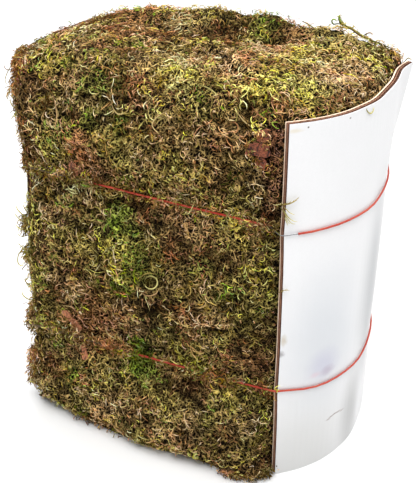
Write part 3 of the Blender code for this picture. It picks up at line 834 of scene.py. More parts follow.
class Coat:
    """A material in the making, and the steps that several finishes take."""

    def __init__(self, name: str, effects: SharedEffects | None = None) -> None:
        """Starts a material that holds only a Principled shader."""
        self.material = bpy.data.materials.new(name)
        self.material.use_nodes = True
        self.tree = self.material.node_tree
        self.effects = effects
        self.place = add_node(self.tree, "TexCoord", {}).outputs["Object"]

    def math(self, operation: str, *values: Value, clamp: bool = False) -> Socket:
        """Adds a Math node and returns its output socket."""
        return add_math(self.tree, operation, *values, clamp=clamp)

    def mix(self, factor: Value, first: Value, second: Value) -> Socket:
        """Mixes two linear colours or colour sockets."""
        return mix_colours(self.tree, factor, first, second)

    def use(self, group: Tree, links: dict) -> Node:
        """Places a node group."""
        return add_node(self.tree, "Group", links, node_tree=group)

    def drift(self, scale: float, fine_scale: float, amount: float) -> tuple:
        """The sockets of the tone drift: its tone and its fine noise."""
        item = self.use(self.effects.drift, {"Vector": self.place, "Scale": scale,
                                             "Fine Scale": fine_scale, "Amount": amount})
        return item.outputs["Tone"], item.outputs["Fine"]

    def tangle(self, scale: float, width: float, twist: float,
               squash: float = 1.0) -> bpy.types.bpy_prop_collection:
        """Places the strand tangle.

        Args:
            scale: how fine it is.
            width: how wide its lines are.
            twist: how much they wind.
            squash: under 1, how far it is drawn out along Z.

        Returns:
            The sockets of its results.
        """
        place = self.place
        if squash < 1:
            scales = (1.0, 1.0, squash)
            place = add_node(self.tree, "Mapping", {"Vector": place, "Scale": scales}).outputs[0]
        return self.use(self.effects.tangle, {"Vector": place, "Scale": scale, "Width": width,
                                              "Twist": twist}).outputs

    def tint(self) -> Socket:
        """The colour that each point of the mesh carries."""
        return add_node(self.tree, "Attribute", {}, attribute_name="tint").outputs["Color"]

    def shaded(self, colour: Value, tone: Value) -> Socket:
        """A colour times a tone."""
        grey = add_node(self.tree, "CombineColor", {0: tone, 1: tone, 2: tone}).outputs[0]
        return mix_colours(self.tree, 1.0, colour, grey, "MULTIPLY")

    def finish(self, colour: Value, roughness: Value, relief: tuple = (),
               **values: float) -> Material:
        """Connects the shader.

        Args:
            colour: the base colour's socket.
            roughness: the roughness, or its socket.
            relief: the bump's height socket, strength and distance.
            values: the shader's other values.

        Returns:
            The material.
        """
        links = {"Base Color": colour, "Roughness": roughness}
        if relief:
            steps = dict(zip(("Height", "Strength", "Distance"), relief))
            links["Normal"] = add_node(self.tree, "Bump", steps).outputs[0]
        fill(self.tree, self.tree.nodes["Principled BSDF"], links | values)
        return self.material


@dataclass(frozen=True)
class StrandFinish:
    """The dry skin of the strands, coloured by each point's tint."""

    name: str
    roughness: float = 0.80
    drift: tuple = (120.0, 1100.0, 0.55)

    def build(self, effects: SharedEffects) -> Material:
        """Makes the material."""
        coat = Coat(self.name, effects)
        tone, fine = coat.drift(*self.drift)
        rough = coat.math("MULTIPLY_ADD", fine, 0.3, self.roughness - 0.15)
        return coat.finish(coat.shaded(coat.tint(), tone), rough, **{"Specular IOR Level": 0.03})


@dataclass(frozen=True)
class MossBodyFinish:
    """The dark pressed mass under the strands: a tangle of strands over near-black gaps. The near
    black and the darker lower tangles are painted shade deep in the moss.
    """

    name: str
    gap: tuple = (14, 9, 5)
    tangle: tuple = (190.0, 0.040, 0.6)
    drift: tuple = (90.0, 420.0, 1.4)

    def build(self, effects: SharedEffects) -> Material:
        """Makes the material."""
        coat = Coat(self.name, effects)
        lines = coat.tangle(*self.tangle)
        strand = coat.shaded(coat.tint(), coat.drift(*self.drift)[0])
        colour = linear(self.gap)
        # Lower tangles are painted darker than upper ones: painted shade down among the strands.
        for depth, shade in (("Lower", 0.22), ("Middle", 0.52), ("Upper", 1.0)):
            darker = mix_colours(coat.tree, 1.0, strand, (shade,) * 3, "MULTIPLY")
            colour = coat.mix(lines[depth], colour, darker)
        relief = (lines["Height"], 0.9, 0.0010)
        return coat.finish(colour, 0.90, relief, **{"Specular IOR Level": 0.02})


@dataclass(frozen=True)
class Mark:
    """A soiled place or a patch of painted shade on a board: centre, the radius along each axis,
    colour and strength.
    """

    centre: tuple
    radius: tuple
    colour: tuple
    strength: float
    ragged: float

    @classmethod
    def read(cls, centre: tuple, radius: tuple, colour: tuple, strength: int,
             ragged: int = 80) -> "Mark":
        """A mark from a row in tenths of a millimetre, with its last two values in hundredths."""
        return cls(*read_line((centre, radius)), colour, strength / 100, ragged / 100)


RIGHT_BOARD_MARKS_AND_SHADE = tuple(Mark.read(*row) for row in (
    # The first four rows are painted shade: the board greys towards its bottom and along its right
    # edge, where it turns away from the light. The other rows are marks of the board's own.
    ((1650, -700, 100), (950, 1000, 1350), (203, 203, 201), 85, 10),
    ((1750, -500, 1600), (700, 750, 1250), (206, 209, 213), 85, 20),
    ((1930, 350, 1800), (340, 500, 1650), (176, 178, 180), 85, 10),
    ((1900, 20, 400), (240, 320, 850), (172, 172, 171), 75, 10),
    ((1765, -495, 1310), (260, 300, 280), (186, 186, 204), 60, 30),
    ((1790, -450, 1215), (110, 140, 90), (170, 156, 174), 55, 60),
    ((1715, -585, 1215), (80, 100, 50), (214, 186, 194), 45, 60),
    ((1455, -895, 1580), (60, 60, 60), (140, 134, 138), 75),
    ((1475, -875, 1740), (50, 50, 100), (190, 178, 156), 70),
    ((1490, -860, 3935), (100, 100, 30), (214, 200, 160), 45),
    ((1573, -774, 3955), (13, 13, 13), (50, 40, 30), 100),
    ((1815, -409, 3955), (15, 15, 13), (96, 84, 70), 100),
    ((1822, -392, 528), (40, 52, 16), (160, 148, 142), 85, 30),
    ((1838, -352, 545), (42, 62, 15), (146, 132, 126), 90, 30),
    ((1858, -300, 552), (44, 68, 14), (138, 124, 118), 95, 30),
    ((1876, -242, 544), (44, 72, 13), (138, 122, 116), 90, 30),
    ((1893, -180, 524), (42, 70, 12), (158, 144, 138), 80, 30),
))
LEFT_BOARD_MARKS = tuple(Mark.read(*row) for row in (
    ((-1940, 200, 3300), (300, 300, 200), (200, 196, 190), 45),
    ((-1900, 600, 1160), (200, 200, 120), (176, 170, 168), 50),
    ((-1760, -500, 120), (300, 300, 120), (190, 182, 168), 50),
    ((-1900, -100, 2100), (120, 120, 250), (206, 202, 196), 45),
))


@dataclass(frozen=True)
class LinerFinish:
    """White paper on corrugated board, with faint ridges over the flutes, scuffs, soil and painted
    shade.
    """

    name: str
    marks: tuple
    white: tuple = (229, 229, 230)
    ridge_pitch: float = 0.0072
    drift: tuple = (14.0, 500.0, 0.05)

    def build(self, effects: SharedEffects) -> Material:
        """Makes the material."""
        coat = Coat(self.name, effects)
        tone, fine = coat.drift(*self.drift)
        colour = coat.shaded(linear(self.white), tone)
        for mark in self.marks:
            mapped = add_node(coat.tree, "Mapping", {"Vector": coat.place, "Location": mark.centre,
                                                     "Scale": mark.radius}, vector_type="TEXTURE")
            spot = coat.use(effects.spot, {"Vector": mapped.outputs[0], "Ragged": mark.ragged,
                                           "Strength": mark.strength})
            colour = coat.mix(spot.outputs["Mask"], colour, linear(mark.colour))
        flat = add_node(coat.tree, "UVMap", {}, uv_map="board").outputs[0]
        across = add_node(coat.tree, "SeparateXYZ", {0: flat}).outputs[0]
        ridges = coat.math("SINE", coat.math("MULTIPLY", across, TURN / self.ridge_pitch))
        relief = coat.math("ADD", coat.math("MULTIPLY", ridges, 0.35), fine)
        rough = coat.math("MULTIPLY_ADD", fine, 0.2, 0.38)
        return coat.finish(colour, rough, (relief, 0.25, 0.00025))


@dataclass(frozen=True)
class KraftFinish:
    """Brown board inside the corrugation, with short paper fibres."""

    name: str
    light: tuple = (246, 222, 198)
    dark: tuple = (214, 176, 146)
    fibres: tuple = (900.0, 0.10, 0.6, 0.35)
    drift: tuple = (120.0, 900.0, 1.2)

    def build(self, effects: SharedEffects) -> Material:
        """Makes the material."""
        coat = Coat(self.name, effects)
        tone, fine = coat.drift(*self.drift)
        paler = coat.math("SUBTRACT", tone, 0.60)
        fibres = coat.tangle(*self.fibres)["Height"]
        share = coat.math("MULTIPLY_ADD", fibres, 0.35, paler, clamp=True)
        colour = coat.mix(share, linear(self.dark), linear(self.light))
        return coat.finish(colour, 0.9, (fine, 0.5, 0.0003))


@dataclass(frozen=True)
class WireFinish:
    """Coated or bare tie wire with fine wear, and soil where moss lies over it."""

    name: str
    colour: tuple
    worn: tuple
    roughness: float
    metallic: float = 0.0
    soiled: tuple = ()
    soil: tuple = (78, 60, 32)
    soil_fade: float = 0.008
    front: float = -0.046
    drift: tuple = (70.0, 1200.0, 1.6)

    def build(self, effects: SharedEffects) -> Material:
        """Makes the material. Each soiled stretch is the x of its middle and its reach."""
        coat = Coat(self.name, effects)
        tone, fine = coat.drift(*self.drift)
        share = coat.math("SUBTRACT", tone, 0.72, clamp=True)
        colour = coat.mix(share, linear(self.colour), linear(self.worn))
        axes = add_node(coat.tree, "SeparateXYZ", {0: coat.place}).outputs
        in_front = coat.math("LESS_THAN", axes[1], self.front)
        for middle, reach in self.soiled:
            away = coat.math("ABSOLUTE", coat.math("SUBTRACT", axes[0], middle))
            inside = coat.math("SUBTRACT", reach, away)
            cover = coat.math("DIVIDE", inside, self.soil_fade, clamp=True)
            colour = coat.mix(coat.math("MULTIPLY", cover, in_front), colour, linear(self.soil))
        rough = coat.math("MULTIPLY_ADD", fine, 0.3, self.roughness - 0.15)
        return coat.finish(colour, rough, (fine, 0.3, 0.0002), Metallic=self.metallic)


@dataclass(frozen=True)
class BarkFinish:
    """Reddish bark with dark cracks along it."""

    name: str
    light: tuple = (150, 82, 55)
    dark: tuple = (38, 20, 13)
    cracks: tuple = (150.0, 0.035, 0.9, 0.4)
    drift: tuple = (220.0, 900.0, 1.5)

    def build(self, effects: SharedEffects) -> Material:
        """Makes the material."""
        coat = Coat(self.name, effects)
        cracks = coat.tangle(*self.cracks)["Upper"]
        tone, fine = coat.drift(*self.drift)
        flaking = coat.math("MULTIPLY_ADD", fine, 0.9, -0.75)
        share = coat.math("SUBTRACT", coat.math("ADD", tone, flaking),
                          coat.math("MULTIPLY", cracks, 0.7), clamp=True)
        colour = coat.mix(share, linear(self.dark), linear(self.light))
        return coat.finish(colour, 0.85, (share, 0.8, 0.0008))


# End boards


@dataclass(frozen=True)
class BoardPlan:
    """The course of an end board, as in the part's solids: its outer face from front to back."""

    plan: tuple
    rim: tuple
    outward: int
    lean: float
    height: float = 0.400
    rim_start: float = 0.270
    dent: float = 0.0025
    taper: float = 0.005
    tie_heights: tuple = (0.1070, 0.2905)
    squeeze_reach: float = 0.018

    def route(self, points: tuple) -> tuple:
        """A smooth line through plan points, and the walked length at each of its points."""
        line = catmull(np.asarray(points, float), 12 * (len(points) - 1) + 1)
        steps = np.linalg.norm(np.diff(line, axis=0), axis=1)
        return line, np.concatenate([[0.0], np.cumsum(steps)])

    def length(self) -> float:
        """How long the board is along its plan."""
        return self.route(self.plan)[1][-1]

    def at(self, points: tuple, share: Array) -> Array:
        """Plan points after these shares of a line."""
        line, marks = self.route(points)
        far = np.clip(share, 0, 1) * marks[-1]
        return np.stack([np.interp(far, marks, line[:, axis]) for axis in (0, 1)], axis=-1)

    def place(self, share: Array, height: Array) -> Array:
        """Plan points of the outer face before the ties draw it in."""
        blend = np.clip((height - self.rim_start) / (self.height - self.rim_start), 0, 1)[..., None]
        place = self.at(self.plan, share) * (1 - blend) + self.at(self.rim, share) * blend
        place[..., 1] += self.lean * (height / self.height - 0.5) * (1 - share)
        return place

    def outer(self, share: Array, height: Array, depth: Array) -> Array:
        """Places in the object's frame, this deep in the board.

        Args:
            share: how far along the board, 0 at its front edge and 1 at its back edge.
            height: how high.
            depth: how far in from the outer face.

        Returns:
            The places.
        """
        on_plan = np.clip(share, 0, 1)
        along = unit(self.place(on_plan + 0.01, height) - self.place(on_plan - 0.01, height))
        normal = np.stack([along[..., 1], -along[..., 0]], axis=-1) * self.outward
        squeeze = sum(np.exp(-(((height - tie) / self.squeeze_reach) ** 2))
                      for tie in self.tie_heights)
        free_edge = np.exp(-((share / 0.10) ** 2)) + np.exp(-(((1 - share) / 0.25) ** 2))
        dent = self.dent * squeeze * (0.2 + 0.8 * np.minimum(free_edge, 1))
        dent = dent + self.taper * np.clip((share - 0.35) / 0.5, 0, 1) * (1 - height / self.height)
        beyond = (share - on_plan) * self.length()
        flat = self.place(share, height) - normal * (dent + depth)[..., None]
        flat = flat + along * beyond[..., None] + BALE_SHIFT
        return np.concatenate([flat, height[..., None]], axis=-1)


RIGHT_FRONT = ((1480, -1100), (1675, -895), (1830, -655))
LEFT_FRONT = ((-1600, -1000), (-1760, -760), (-1865, -460), (-1905, -120), (-1905, 230))
RIGHT_PLAN = BoardPlan(
    read_line(RIGHT_FRONT + ((1925, -400), (1980, -150), (1978, 130), (1952, 370), (1908, 590),
                             (1830, 800), (1735, 985))),
    read_line(RIGHT_FRONT + ((1915, -420), (1970, -180), (1970, 110), (1955, 400), (1905, 700),
                             (1905, 850), (1925, 1000))), 1, 0.0)
LEFT_PLAN = BoardPlan(read_line(LEFT_FRONT + ((-1860, 580), (-1790, 980))),
                      read_line(LEFT_FRONT + ((-1880, 580), (-1850, 980))), -1, 0.030)


@dataclass
class CorrugatedBoard:
    """A double-wall corrugated board: a white liner, two flutes, a middle and an inner liner."""

    side: str
    plan: BoardPlan
    levels: tuple = (0.0, 0.032, 0.064, 0.090, 0.107, 0.124, 0.160, 0.205, 0.245, 0.273, 0.2905,
                     0.308, 0.335, 0.360, 0.382, 0.400)
    columns: int = 48
    white_depth: tuple = (0.0, 0.0005)
    ply_slip: float = 0.20
    edge_trim: float = 0.0013
    middle_depth: tuple = (0.0034, 0.0040)
    inner_depth: tuple = (0.0057, 0.0070)
    flutes: tuple = ((0.0019, 0.00115, 0.0072), (0.00480, 0.00070, 0.0063))
    flute_paper: float = 0.0003
    cells_per_wave: int = 6

    def add_sheet(self, shape: Shape, columns: int, depth_at: Callable) -> None:
        """Adds a closed sheet: a slab in shares and heights that is bent to the board's course.

        Args:
            shape: the bmesh it goes in.
            columns: how many cells it has along the board.
            depth_at: gives depth from share and layer, 0 outside and 1 inside.
        """
        flat = shape.loops.layers.uv.get("board") or shape.loops.layers.uv.new("board")
        rows = len(self.levels) - 1
        made = bmesh.ops.create_grid(shape, x_segments=columns, y_segments=rows, size=0.5)
        faces = list({face for vertex in made["verts"] for face in vertex.link_faces})
        slab = bmesh.ops.extrude_face_region(shape, geom=faces)
        raised = [item for item in slab["geom"] if isinstance(item, bmesh.types.BMVert)]
        bmesh.ops.translate(shape, verts=raised, vec=(0.0, 0.0, 1.0))
        vertices = made["verts"] + raised
        at = np.array([vertex.co[:] for vertex in vertices])
        depth = depth_at(at[:, 0] + 0.5, at[:, 2])
        length = self.plan.length()
        slip = (self.ply_slip * depth.mean() - self.edge_trim) / length
        share = at[:, 0] * (1 + 2 * slip) + 0.5
        height = np.array(self.levels)[((at[:, 1] + 0.5) * rows).round().astype(int)]
        where = {}
        places = self.plan.outer(share, height, depth)
        for vertex, place, along, up in zip(vertices, places, share, height):
            vertex.co = place
            where[vertex] = (along * length, up)
        for face in {face for vertex in vertices for face in vertex.link_faces}:
            for corner in face.loops:
                corner[flat].uv = where[corner.vert]

    def slab_mesh(self, name: str, depths: tuple) -> Mesh:
        """A mesh of a plain sheet between two depths."""
        near, far = depths
        shape = bmesh.new()
        self.add_sheet(shape, self.columns, lambda share, layer: near + (far - near) * layer)
        bmesh.ops.recalc_face_normals(shape, faces=shape.faces)
        return mesh_from(shape, name)

    def flute_mesh(self, name: str) -> Mesh:
        """A mesh of the wavy papers between the liners."""
        shape = bmesh.new()
        for middle, swing, pitch in self.flutes:
            waves = self.plan.length() / pitch
            self.add_sheet(shape, int(waves * self.cells_per_wave), lambda share, layer: (
                middle + swing * np.sin(TURN * waves * share + 0.6)
                + (layer - 0.5) * self.flute_paper))
        bmesh.ops.recalc_face_normals(shape, faces=shape.faces)
        return mesh_from(shape, name, 70.0)

    def build(self, liner: Material, kraft: Material,
              middle: Material, flute: Material) -> None:
        """Makes the board's pieces in place of its plain solid.

        Args:
            liner: the white paper's material.
            kraft: the inner liner's material.
            middle: the middle liner's material.
            flute: the wavy paper's material, dark partly as painted shade between the liners.
        """
        node, name = f"end_board_{self.side}", f"board_{self.side}"
        add_piece(self.slab_mesh(f"{name}_liner", self.white_depth), liner, node, node)
        add_piece(self.slab_mesh(f"{name}_middle", self.middle_depth), middle, node)
        add_piece(self.slab_mesh(f"{name}_inner", self.inner_depth), kraft, node)
        add_piece(self.flute_mesh(f"{name}_flutes"), flute, node)


# Moss


CROWN_HEIGHT = 0.392
BOARD_SEARCH = 0.013
CLUMP_TRIES = 16000
ON_FLOOR = 0.0004


class MossSurface:
    """The outer skin of the pressed block: where strands may root, and what is in their way."""

    def __init__(self, rng: np.random.Generator) -> None:
        """Reads the block and the boards from the CAD."""
        self.rng = rng
        shape = welded_copy(MOSS)
        bmesh.ops.triangulate(shape, faces=shape.faces)
        shape.normal_update()
        self.points, self.normals, self.faces = arrays_of(shape)
        shape.free()
        nodes = [f"end_board_{side}" for side in ("right", "left")]
        self.boards = [self.tree_of(node) for node in nodes]
        self.corners = [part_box(node) for node in nodes]

    @staticmethod
    def tree_of(node: str) -> BVHTree:
        """A search tree of a CAD node."""
        mesh = frame["nodes"][node].data
        points = [vertex.co for vertex in mesh.vertices]
        return BVHTree.FromPolygons(points, [face.vertices for face in mesh.polygons])

    def scatter(self, count: int) -> tuple:
        """Random places all over the block, evenly by area.

        Args:
            count: how many.

        Returns:
            The places and their outward normals.
        """
        a, b, c = (self.points[self.faces[:, k]] for k in range(3))
        area = np.linalg.norm(np.cross(b - a, c - a), axis=1)
        face = self.rng.choice(len(area), count, p=area / area.sum())
        u, v = self.rng.random((2, count))
        flip = u + v > 1
        u, v = np.where(flip, 1 - u, u)[:, None], np.where(flip, 1 - v, v)[:, None]
        corner, weights = self.faces[face], (1 - u - v, u, v)
        place, normal = (sum(w * source[corner[:, k]] for k, w in enumerate(weights))
                         for source in (self.points, self.normals))
        return place, unit(normal)

    def in_the_open(self, place: Array, normal: Array) -> Array:
        """Which places show: not against a board, and not on the underside."""
        show = ~((place[:, 2] < 0.004) & (normal[:, 2] < -0.4))
        for i in np.flatnonzero(show & (place[:, 2] <= CROWN_HEIGHT)):
            start = Vector(place[i] - normal[i] * 0.001)
            show[i] = not any(tree.ray_cast(start, Vector(normal[i]), BOARD_SEARCH)[0] is not None
                              for tree in self.boards)
        return show

    def inside_board(self, places: Array, spare: float = 0.0012) -> Array:
        """Which strands, given as rows of places, touch a board."""
        bad = np.zeros(len(places), bool)
        for tree, (low, high) in zip(self.boards, self.corners):
            low, high = np.array(low) - 0.002, np.array(high) + 0.002
            near = ((places > low) & (places < high)).all(-1)
            for i, k in zip(*np.nonzero(near)):
                if bad[i]:
                    continue
                point = Vector(places[i, k])
                spot, normal, _, far = tree.find_nearest(point)
                bad[i] = far < spare or (point - spot).dot(normal) < 0
        return bad


class ClumpField:
    """Small cushions that the moss has grown in. Each has its own height, lean, tone and kind."""

    def __init__(self, surface: MossSurface, spacing: float = 0.0095) -> None:
        """Spreads the clumps over the block.

        Args:
            surface: the block's skin.
            spacing: the least distance between two clumps.
        """
        rng = surface.rng
        place, _ = surface.scatter(CLUMP_TRIES)
        chosen = self.thinned(place, spacing)
        self.place = place = place[chosen]
        count = len(chosen)
        self.height = rng.normal(0, 0.0012, count) + noise_at(place, 26) * 0.0045
        self.lean = unit(rng.normal(size=(count, 3))) * rng.uniform(0.2, 2.2, (count, 1))
        broad = 0.42 * noise_at(place, 27, (4, 4, 4)) + 0.42 * noise_at(place, 64, (1, 7, 2))
        self.tone = np.clip(rng.normal(1.0, 0.14, count) + broad, 0.40, 1.6)
        self.fineness = 0.95 + 0.5 * noise_at(place, 24, (7, 1, 5))
        self.mix = np.array([self.mix_at(point) for point in place])
        draw = 0.5 + 1.1 * noise_at(place, 38, (2, 5, 3)) + rng.normal(0, 0.12, count)
        self.kind = pick_kinds(draw.clip(0, 1), self.mix)
        self.warm = (0.05 + 0.60 * noise_at(place, 36, (8, 3, 9))
                     + 0.40 * noise_at(place, 92, (5, 6, 1)))
        self.lift = np.zeros(count)
        for patch in PATCHES:
            away = np.linalg.norm(place - patch.centre, axis=1)
            pull = np.exp(-patch.fall_at(away))
            self.height -= patch.sink * pull
            self.lift = np.maximum(self.lift, -patch.sink * pull)
            self.tone *= 1 + (patch.tone - 1) * pull
        for run in TIE_RUNS:
            if not run.bare:
                bank = run.bank * np.exp(-((run.distance(place) / 0.0105) ** 3))
                self.height += bank
                self.lift = np.maximum(self.lift, bank)
        self.tree = KDTree(count)
        for i, point in enumerate(place):
            self.tree.insert(point, i)
        self.tree.balance()

    @staticmethod
    def thinned(place: Array, spacing: float) -> list:
        """The numbers of the places that are kept when none may be nearer than the spacing."""
        taken: dict = {}
        chosen = []
        steps = (-1, 0, 1)
        for i, point in enumerate(place):
            x, y, z = cell = tuple((point / spacing).astype(int))
            near = (other for a in steps for b in steps for c in steps
                    for other in taken.get((x + a, y + b, z + c), ()))
            if not any(np.sum((point - other) ** 2) < spacing**2 for other in near):
                taken.setdefault(cell, []).append(point)
                chosen.append(i)
        return chosen

    @staticmethod
    def mix_at(point: Array) -> Array:
        """The shares of each kind at a place."""
        here = Vector(point)
        earthy = 0.5 + 1.5 * noise.noise(here * 19 + Vector((3, 8, 1)))
        earthy += 0.7 * noise.noise(here * 47 + Vector((9, 2, 6)))
        earthy = min(max(earthy, 0.0), 1.0)
        shares = np.array([MEADOW_MIX.get(kind, 0) * (1 - earthy) + EARTHY_MIX.get(kind, 0) * earthy
                           for kind in KINDS])
        for patch in PATCHES:
            away = (here - Vector(patch.centre)).length
            pull = patch.share * math.exp(-patch.fall_at(away))
            shares *= 1 - pull
            shares[KINDS.index(patch.kind)] += pull
        return shares

    def nearest(self, places: Array) -> tuple:
        """The nearest clump of each place, and how much further the next one is."""
        index = np.zeros(len(places), int)
        margin = np.zeros(len(places))
        for i, point in enumerate(places):
            (_, first, near), (_, _, far) = self.tree.find_n(Vector(point), 2)
            index[i], margin[i] = first, far - near
        return index, margin


FOOT_RISES = ((-0.158, 0.004), (-0.135, 0.0095), (-0.118, 0.0085), (-0.100, 0.0045),
              (-0.085, 0.0015), (0.010, 0.0), (0.040, 0.004), (0.060, 0.004), (0.075, 0.002),
              (0.090, 0.0))


def foot_rise(points: Array) -> Array:
    """How far the front foot of the block is drawn up off the floor at each point."""
    xs, rises = zip(*FOOT_RISES)
    x, y, z = (points[..., axis] for axis in range(3))
    low, front = np.clip(1 - z / 0.045, 0, 1), np.clip((-y - 0.02) / 0.06, 0, 1)
    return np.interp(x, xs, rises) * (low * front)


LUMINANCE = np.array((0.2126, 0.7152, 0.0722))
BROWNER = np.array((0.20, -0.40, -0.60))
GREENER = np.array((-0.45, -0.05, -0.25))
SHADE_FALL = np.array((1.0, 1.07, 1.50))
REGIONS = ("front_lower", "front_middle", "front_upper", "crown_front", "crown_back",
           "back_lower", "back_middle", "back_upper")


@dataclass(frozen=True)
class StrandLayer:
    """One of the layers that dress the bale. Lengths, girths and curls are shares of a kind's."""

    form: StrandForm
    tries: int
    length: float
    girth: float
    rise: tuple
    root: tuple
    tone: float
    curl: float = 1.0
    wave: float = 0.0010
    sideways: float = 1.1
    own_kind: float = 0.32
    gaps: float = 0.92
    feathered: bool = False
    kinds: tuple = ()


@dataclass
class MossBale:
    """The pressed moss: a dark body that is dressed all over in strands and fronds."""

    surface: MossSurface
    clumps: ClumpField
    strand: Material
    body_depth: float = 0.0040
    clump_dome: float = 0.0022
    clump_reach: float = 0.0075
    crevice_depth: float = 0.0026
    crevice_width: float = 0.0016
    proud: float = 0.0026
    back_density: float = 0.62
    gap_grain: float = 78.0
    gap_level: float = 0.16
    gap_ramp: float = 0.14
    gap_depth: float = 0.0026
    arch_girth: tuple = (0.00036, 0.00064)
    tie_lift: float = 0.0004
    tie_reach: float = 0.0008
    tie_depth: float = 0.0022
    tie_clearing: float = 0.90
    tie_spare: float = 0.0003
    edge_spare: float = 0.0008

    @staticmethod
    def layers() -> tuple:
        """The layers from the inside out: bed, two mats, feathered strands, straws, fuzz, bits."""
        layer, curl = StrandLayer, StrandForm.curl
        return (
            layer(curl(4), 12600, 0.90, 0.74, (0.05, 0.35), (-0.0036, -0.0024), 0.85, gaps=0.6),
            layer(curl(4), 22000, 0.88, 0.68, (0.10, 0.45), (-0.0032, -0.0016), 1.20),
            layer(curl(5), 24000, 0.88, 0.78, (0.25, 0.70), (-0.0022, -0.0004), 1.60),
            layer(StrandForm.frond(8, 0.20, 0.032), 4800, 0.95, 1.0, (0.20, 0.60),
                  (-0.0022, -0.0010), 1.46, 0.5, feathered=True),
            layer(curl(6), 1300, 1.7, 0.70, (0.05, 0.30), (-0.0010, 0.0004), 1.12, 0.45, 0.0016),
            layer(curl(3), 4200, 0.75, 0.62, (0.55, 1.10), (-0.0034, -0.0016), 1.1, 1.0, 0.0005),
            layer(StrandForm.flake(), 2600, 0.34, 2.0, (0.05, 0.60), (-0.0020, -0.0006), 1.05,
                  0.2, 0.0, own_kind=1.0, kinds=(TAN, RUST, BROWN)),
        )

    def relief(self, places: Array) -> tuple:
        """How high the moss stands at each place, and its nearest clump."""
        index, margin = self.clumps.nearest(places)
        away = np.linalg.norm(places - self.clumps.place[index], axis=1) / self.clump_reach
        dome = self.clump_dome * np.clip(1 - away**2, -0.5, 1)
        crevice = self.crevice_depth * np.exp(-((margin / self.crevice_width) ** 2))
        return self.clumps.height[index] + dome - crevice, index

    def gap_at(self, places: Array) -> Array:
        """How open a dark gap is at each place, from 0 to 1."""
        field = noise_at(places, self.gap_grain)
        crown = np.clip((places[:, 2] - CROWN_HEIGHT) / 0.012, 0, 1)
        return np.clip((field - self.gap_level) / self.gap_ramp, 0, 1) * (1 - 0.5 * crown)

    def build_body(self, material: Material) -> None:
        """Makes the dark lumpy body a little inside the CAD block.

        Args:
            material: its material.
        """
        shape = welded_copy(MOSS)
        for longest in (0.0110, 0.0080):
            open_edges = [edge for edge in shape.edges if edge.calc_length() > longest
                          and min(v.co.z for v in edge.verts) > 0.0005]
            bmesh.ops.subdivide_edges(shape, edges=open_edges, cuts=1)
            bmesh.ops.triangulate(shape, faces=shape.faces)
        shape.normal_update()
        at, normal, _ = arrays_of(shape)
        height, index = self.relief(at)
        gap = self.gap_at(at)
        rise = np.minimum(height - self.body_depth - self.gap_depth * gap,
                          0.8 * self.clumps.lift[index] - 0.0012)
        rise = np.where(at[:, 2] < 0.0005, 0.0, rise)
        moved = at + normal * rise[:, None]
        moved[:, 2] = np.maximum(moved[:, 2], 0.0) + foot_rise(moved)
        for vertex, place in zip(shape.verts, moved):
            vertex.co = place
        mesh = mesh_from(shape, "moss_body", 180.0)
        # The body's tint is painted darker where the gaps open, as shade down in them.
        shade = 1.25 * self.clumps.tone[index] * (1 - 0.55 * gap)
        tips = np.array([linear(look.tip) for look in LOOKS])
        set_tint(mesh, (self.clumps.mix @ tips)[index] * shade[:, None])
        add_piece(mesh, material, MOSS, MOSS)

    def lay_out(self, layer: StrandLayer) -> tuple:
        """Chooses where a layer's strands root and how they set off.

        Args:
            layer: the layer.

        Returns:
            The bends, the CAD places under the roots, the normals, and each one's clump and kind.
        """
        clumps, rng = self.clumps, self.surface.rng
        place, normal = self.surface.scatter(layer.tries)
        show = self.surface.in_the_open(place, normal)
        back = (normal[:, 1] > 0.4) | (normal[:, 0] < -0.7)
        show &= rng.random(len(place)) < np.where(back, self.back_density, 1.0)
        show &= rng.random(len(place)) > self.gap_at(place) * layer.gaps
        place, normal = place[show], normal[show]
        count = len(place)
        height, index = self.relief(place)
        kind = clumps.kind[index].copy()
        own = rng.random(count) < layer.own_kind
        kind[own] = pick_kinds(rng.random(own.sum()), clumps.mix[index[own]])
        if layer.kinds:
            kind = rng.choice([KINDS.index(one) for one in layer.kinds], count)
        (shortest, longest), (least, most) = (np.array(rows)[kind].T for rows in (
            [look.length for look in LOOKS], [look.curl for look in LOOKS]))
        size = clumps.fineness[index]
        length = (shortest + (longest - shortest) * rng.random(count) ** 1.3) * layer.length * size
        outward = rng.normal(size=(count, 3)) + clumps.lean[index]
        outward = unit(outward - normal * (outward * normal).sum(1, keepdims=True))
        rise = rng.uniform(*layer.rise, count)[:, None]
        ahead = np.cos(rise) * outward + np.sin(rise) * normal
        upright = -np.sin(rise) * outward + np.cos(rise) * normal
        turn = (rng.normal(layer.sideways, 0.45, count) * rng.choice((-1, 1), count))[:, None]
        inward = unit(-np.cos(turn) * upright + np.sin(turn) * np.cross(normal, outward))
        bend = (least + (most - least) * rng.random(count)) * layer.curl
        girth = np.array([look.girth for look in LOOKS])[kind] * rng.uniform(0.75, 1.25, count)
        girth *= size
        root = place + normal * (height + rng.uniform(*layer.root, count))[:, None]
        bends = Bends(root, ahead, inward, length, bend, rng.random(count) * layer.wave,
                      rng.random(count), length if layer.feathered else girth * layer.girth)
        return bends, place, normal, index, kind

    def clear_of_ties(self, lines: Array) -> Array:
        """Which strands leave the bare stretches of the ties in view."""
        clear = np.ones(len(lines), bool)
        x, y, z = (lines[..., axis] for axis in range(3))
        for run in TIE_RUNS:
            if not run.bare:
                continue
            left, right = run.start[0], run.end[0]
            share = np.clip((x - left) / (right - left), 0, 1)
            on_tie = run.start + (run.end - run.start) * share[..., None]
            close = np.abs(z - on_tie[..., 2] - self.tie_lift) < self.tie_reach
            in_front = y < on_tie[..., 1] + self.tie_depth
            over = ((x > left) & (x < right) & in_front & close).any(1)
            clear &= ~(over & (self.surface.rng.random(len(lines)) < self.tie_clearing))
        return clear

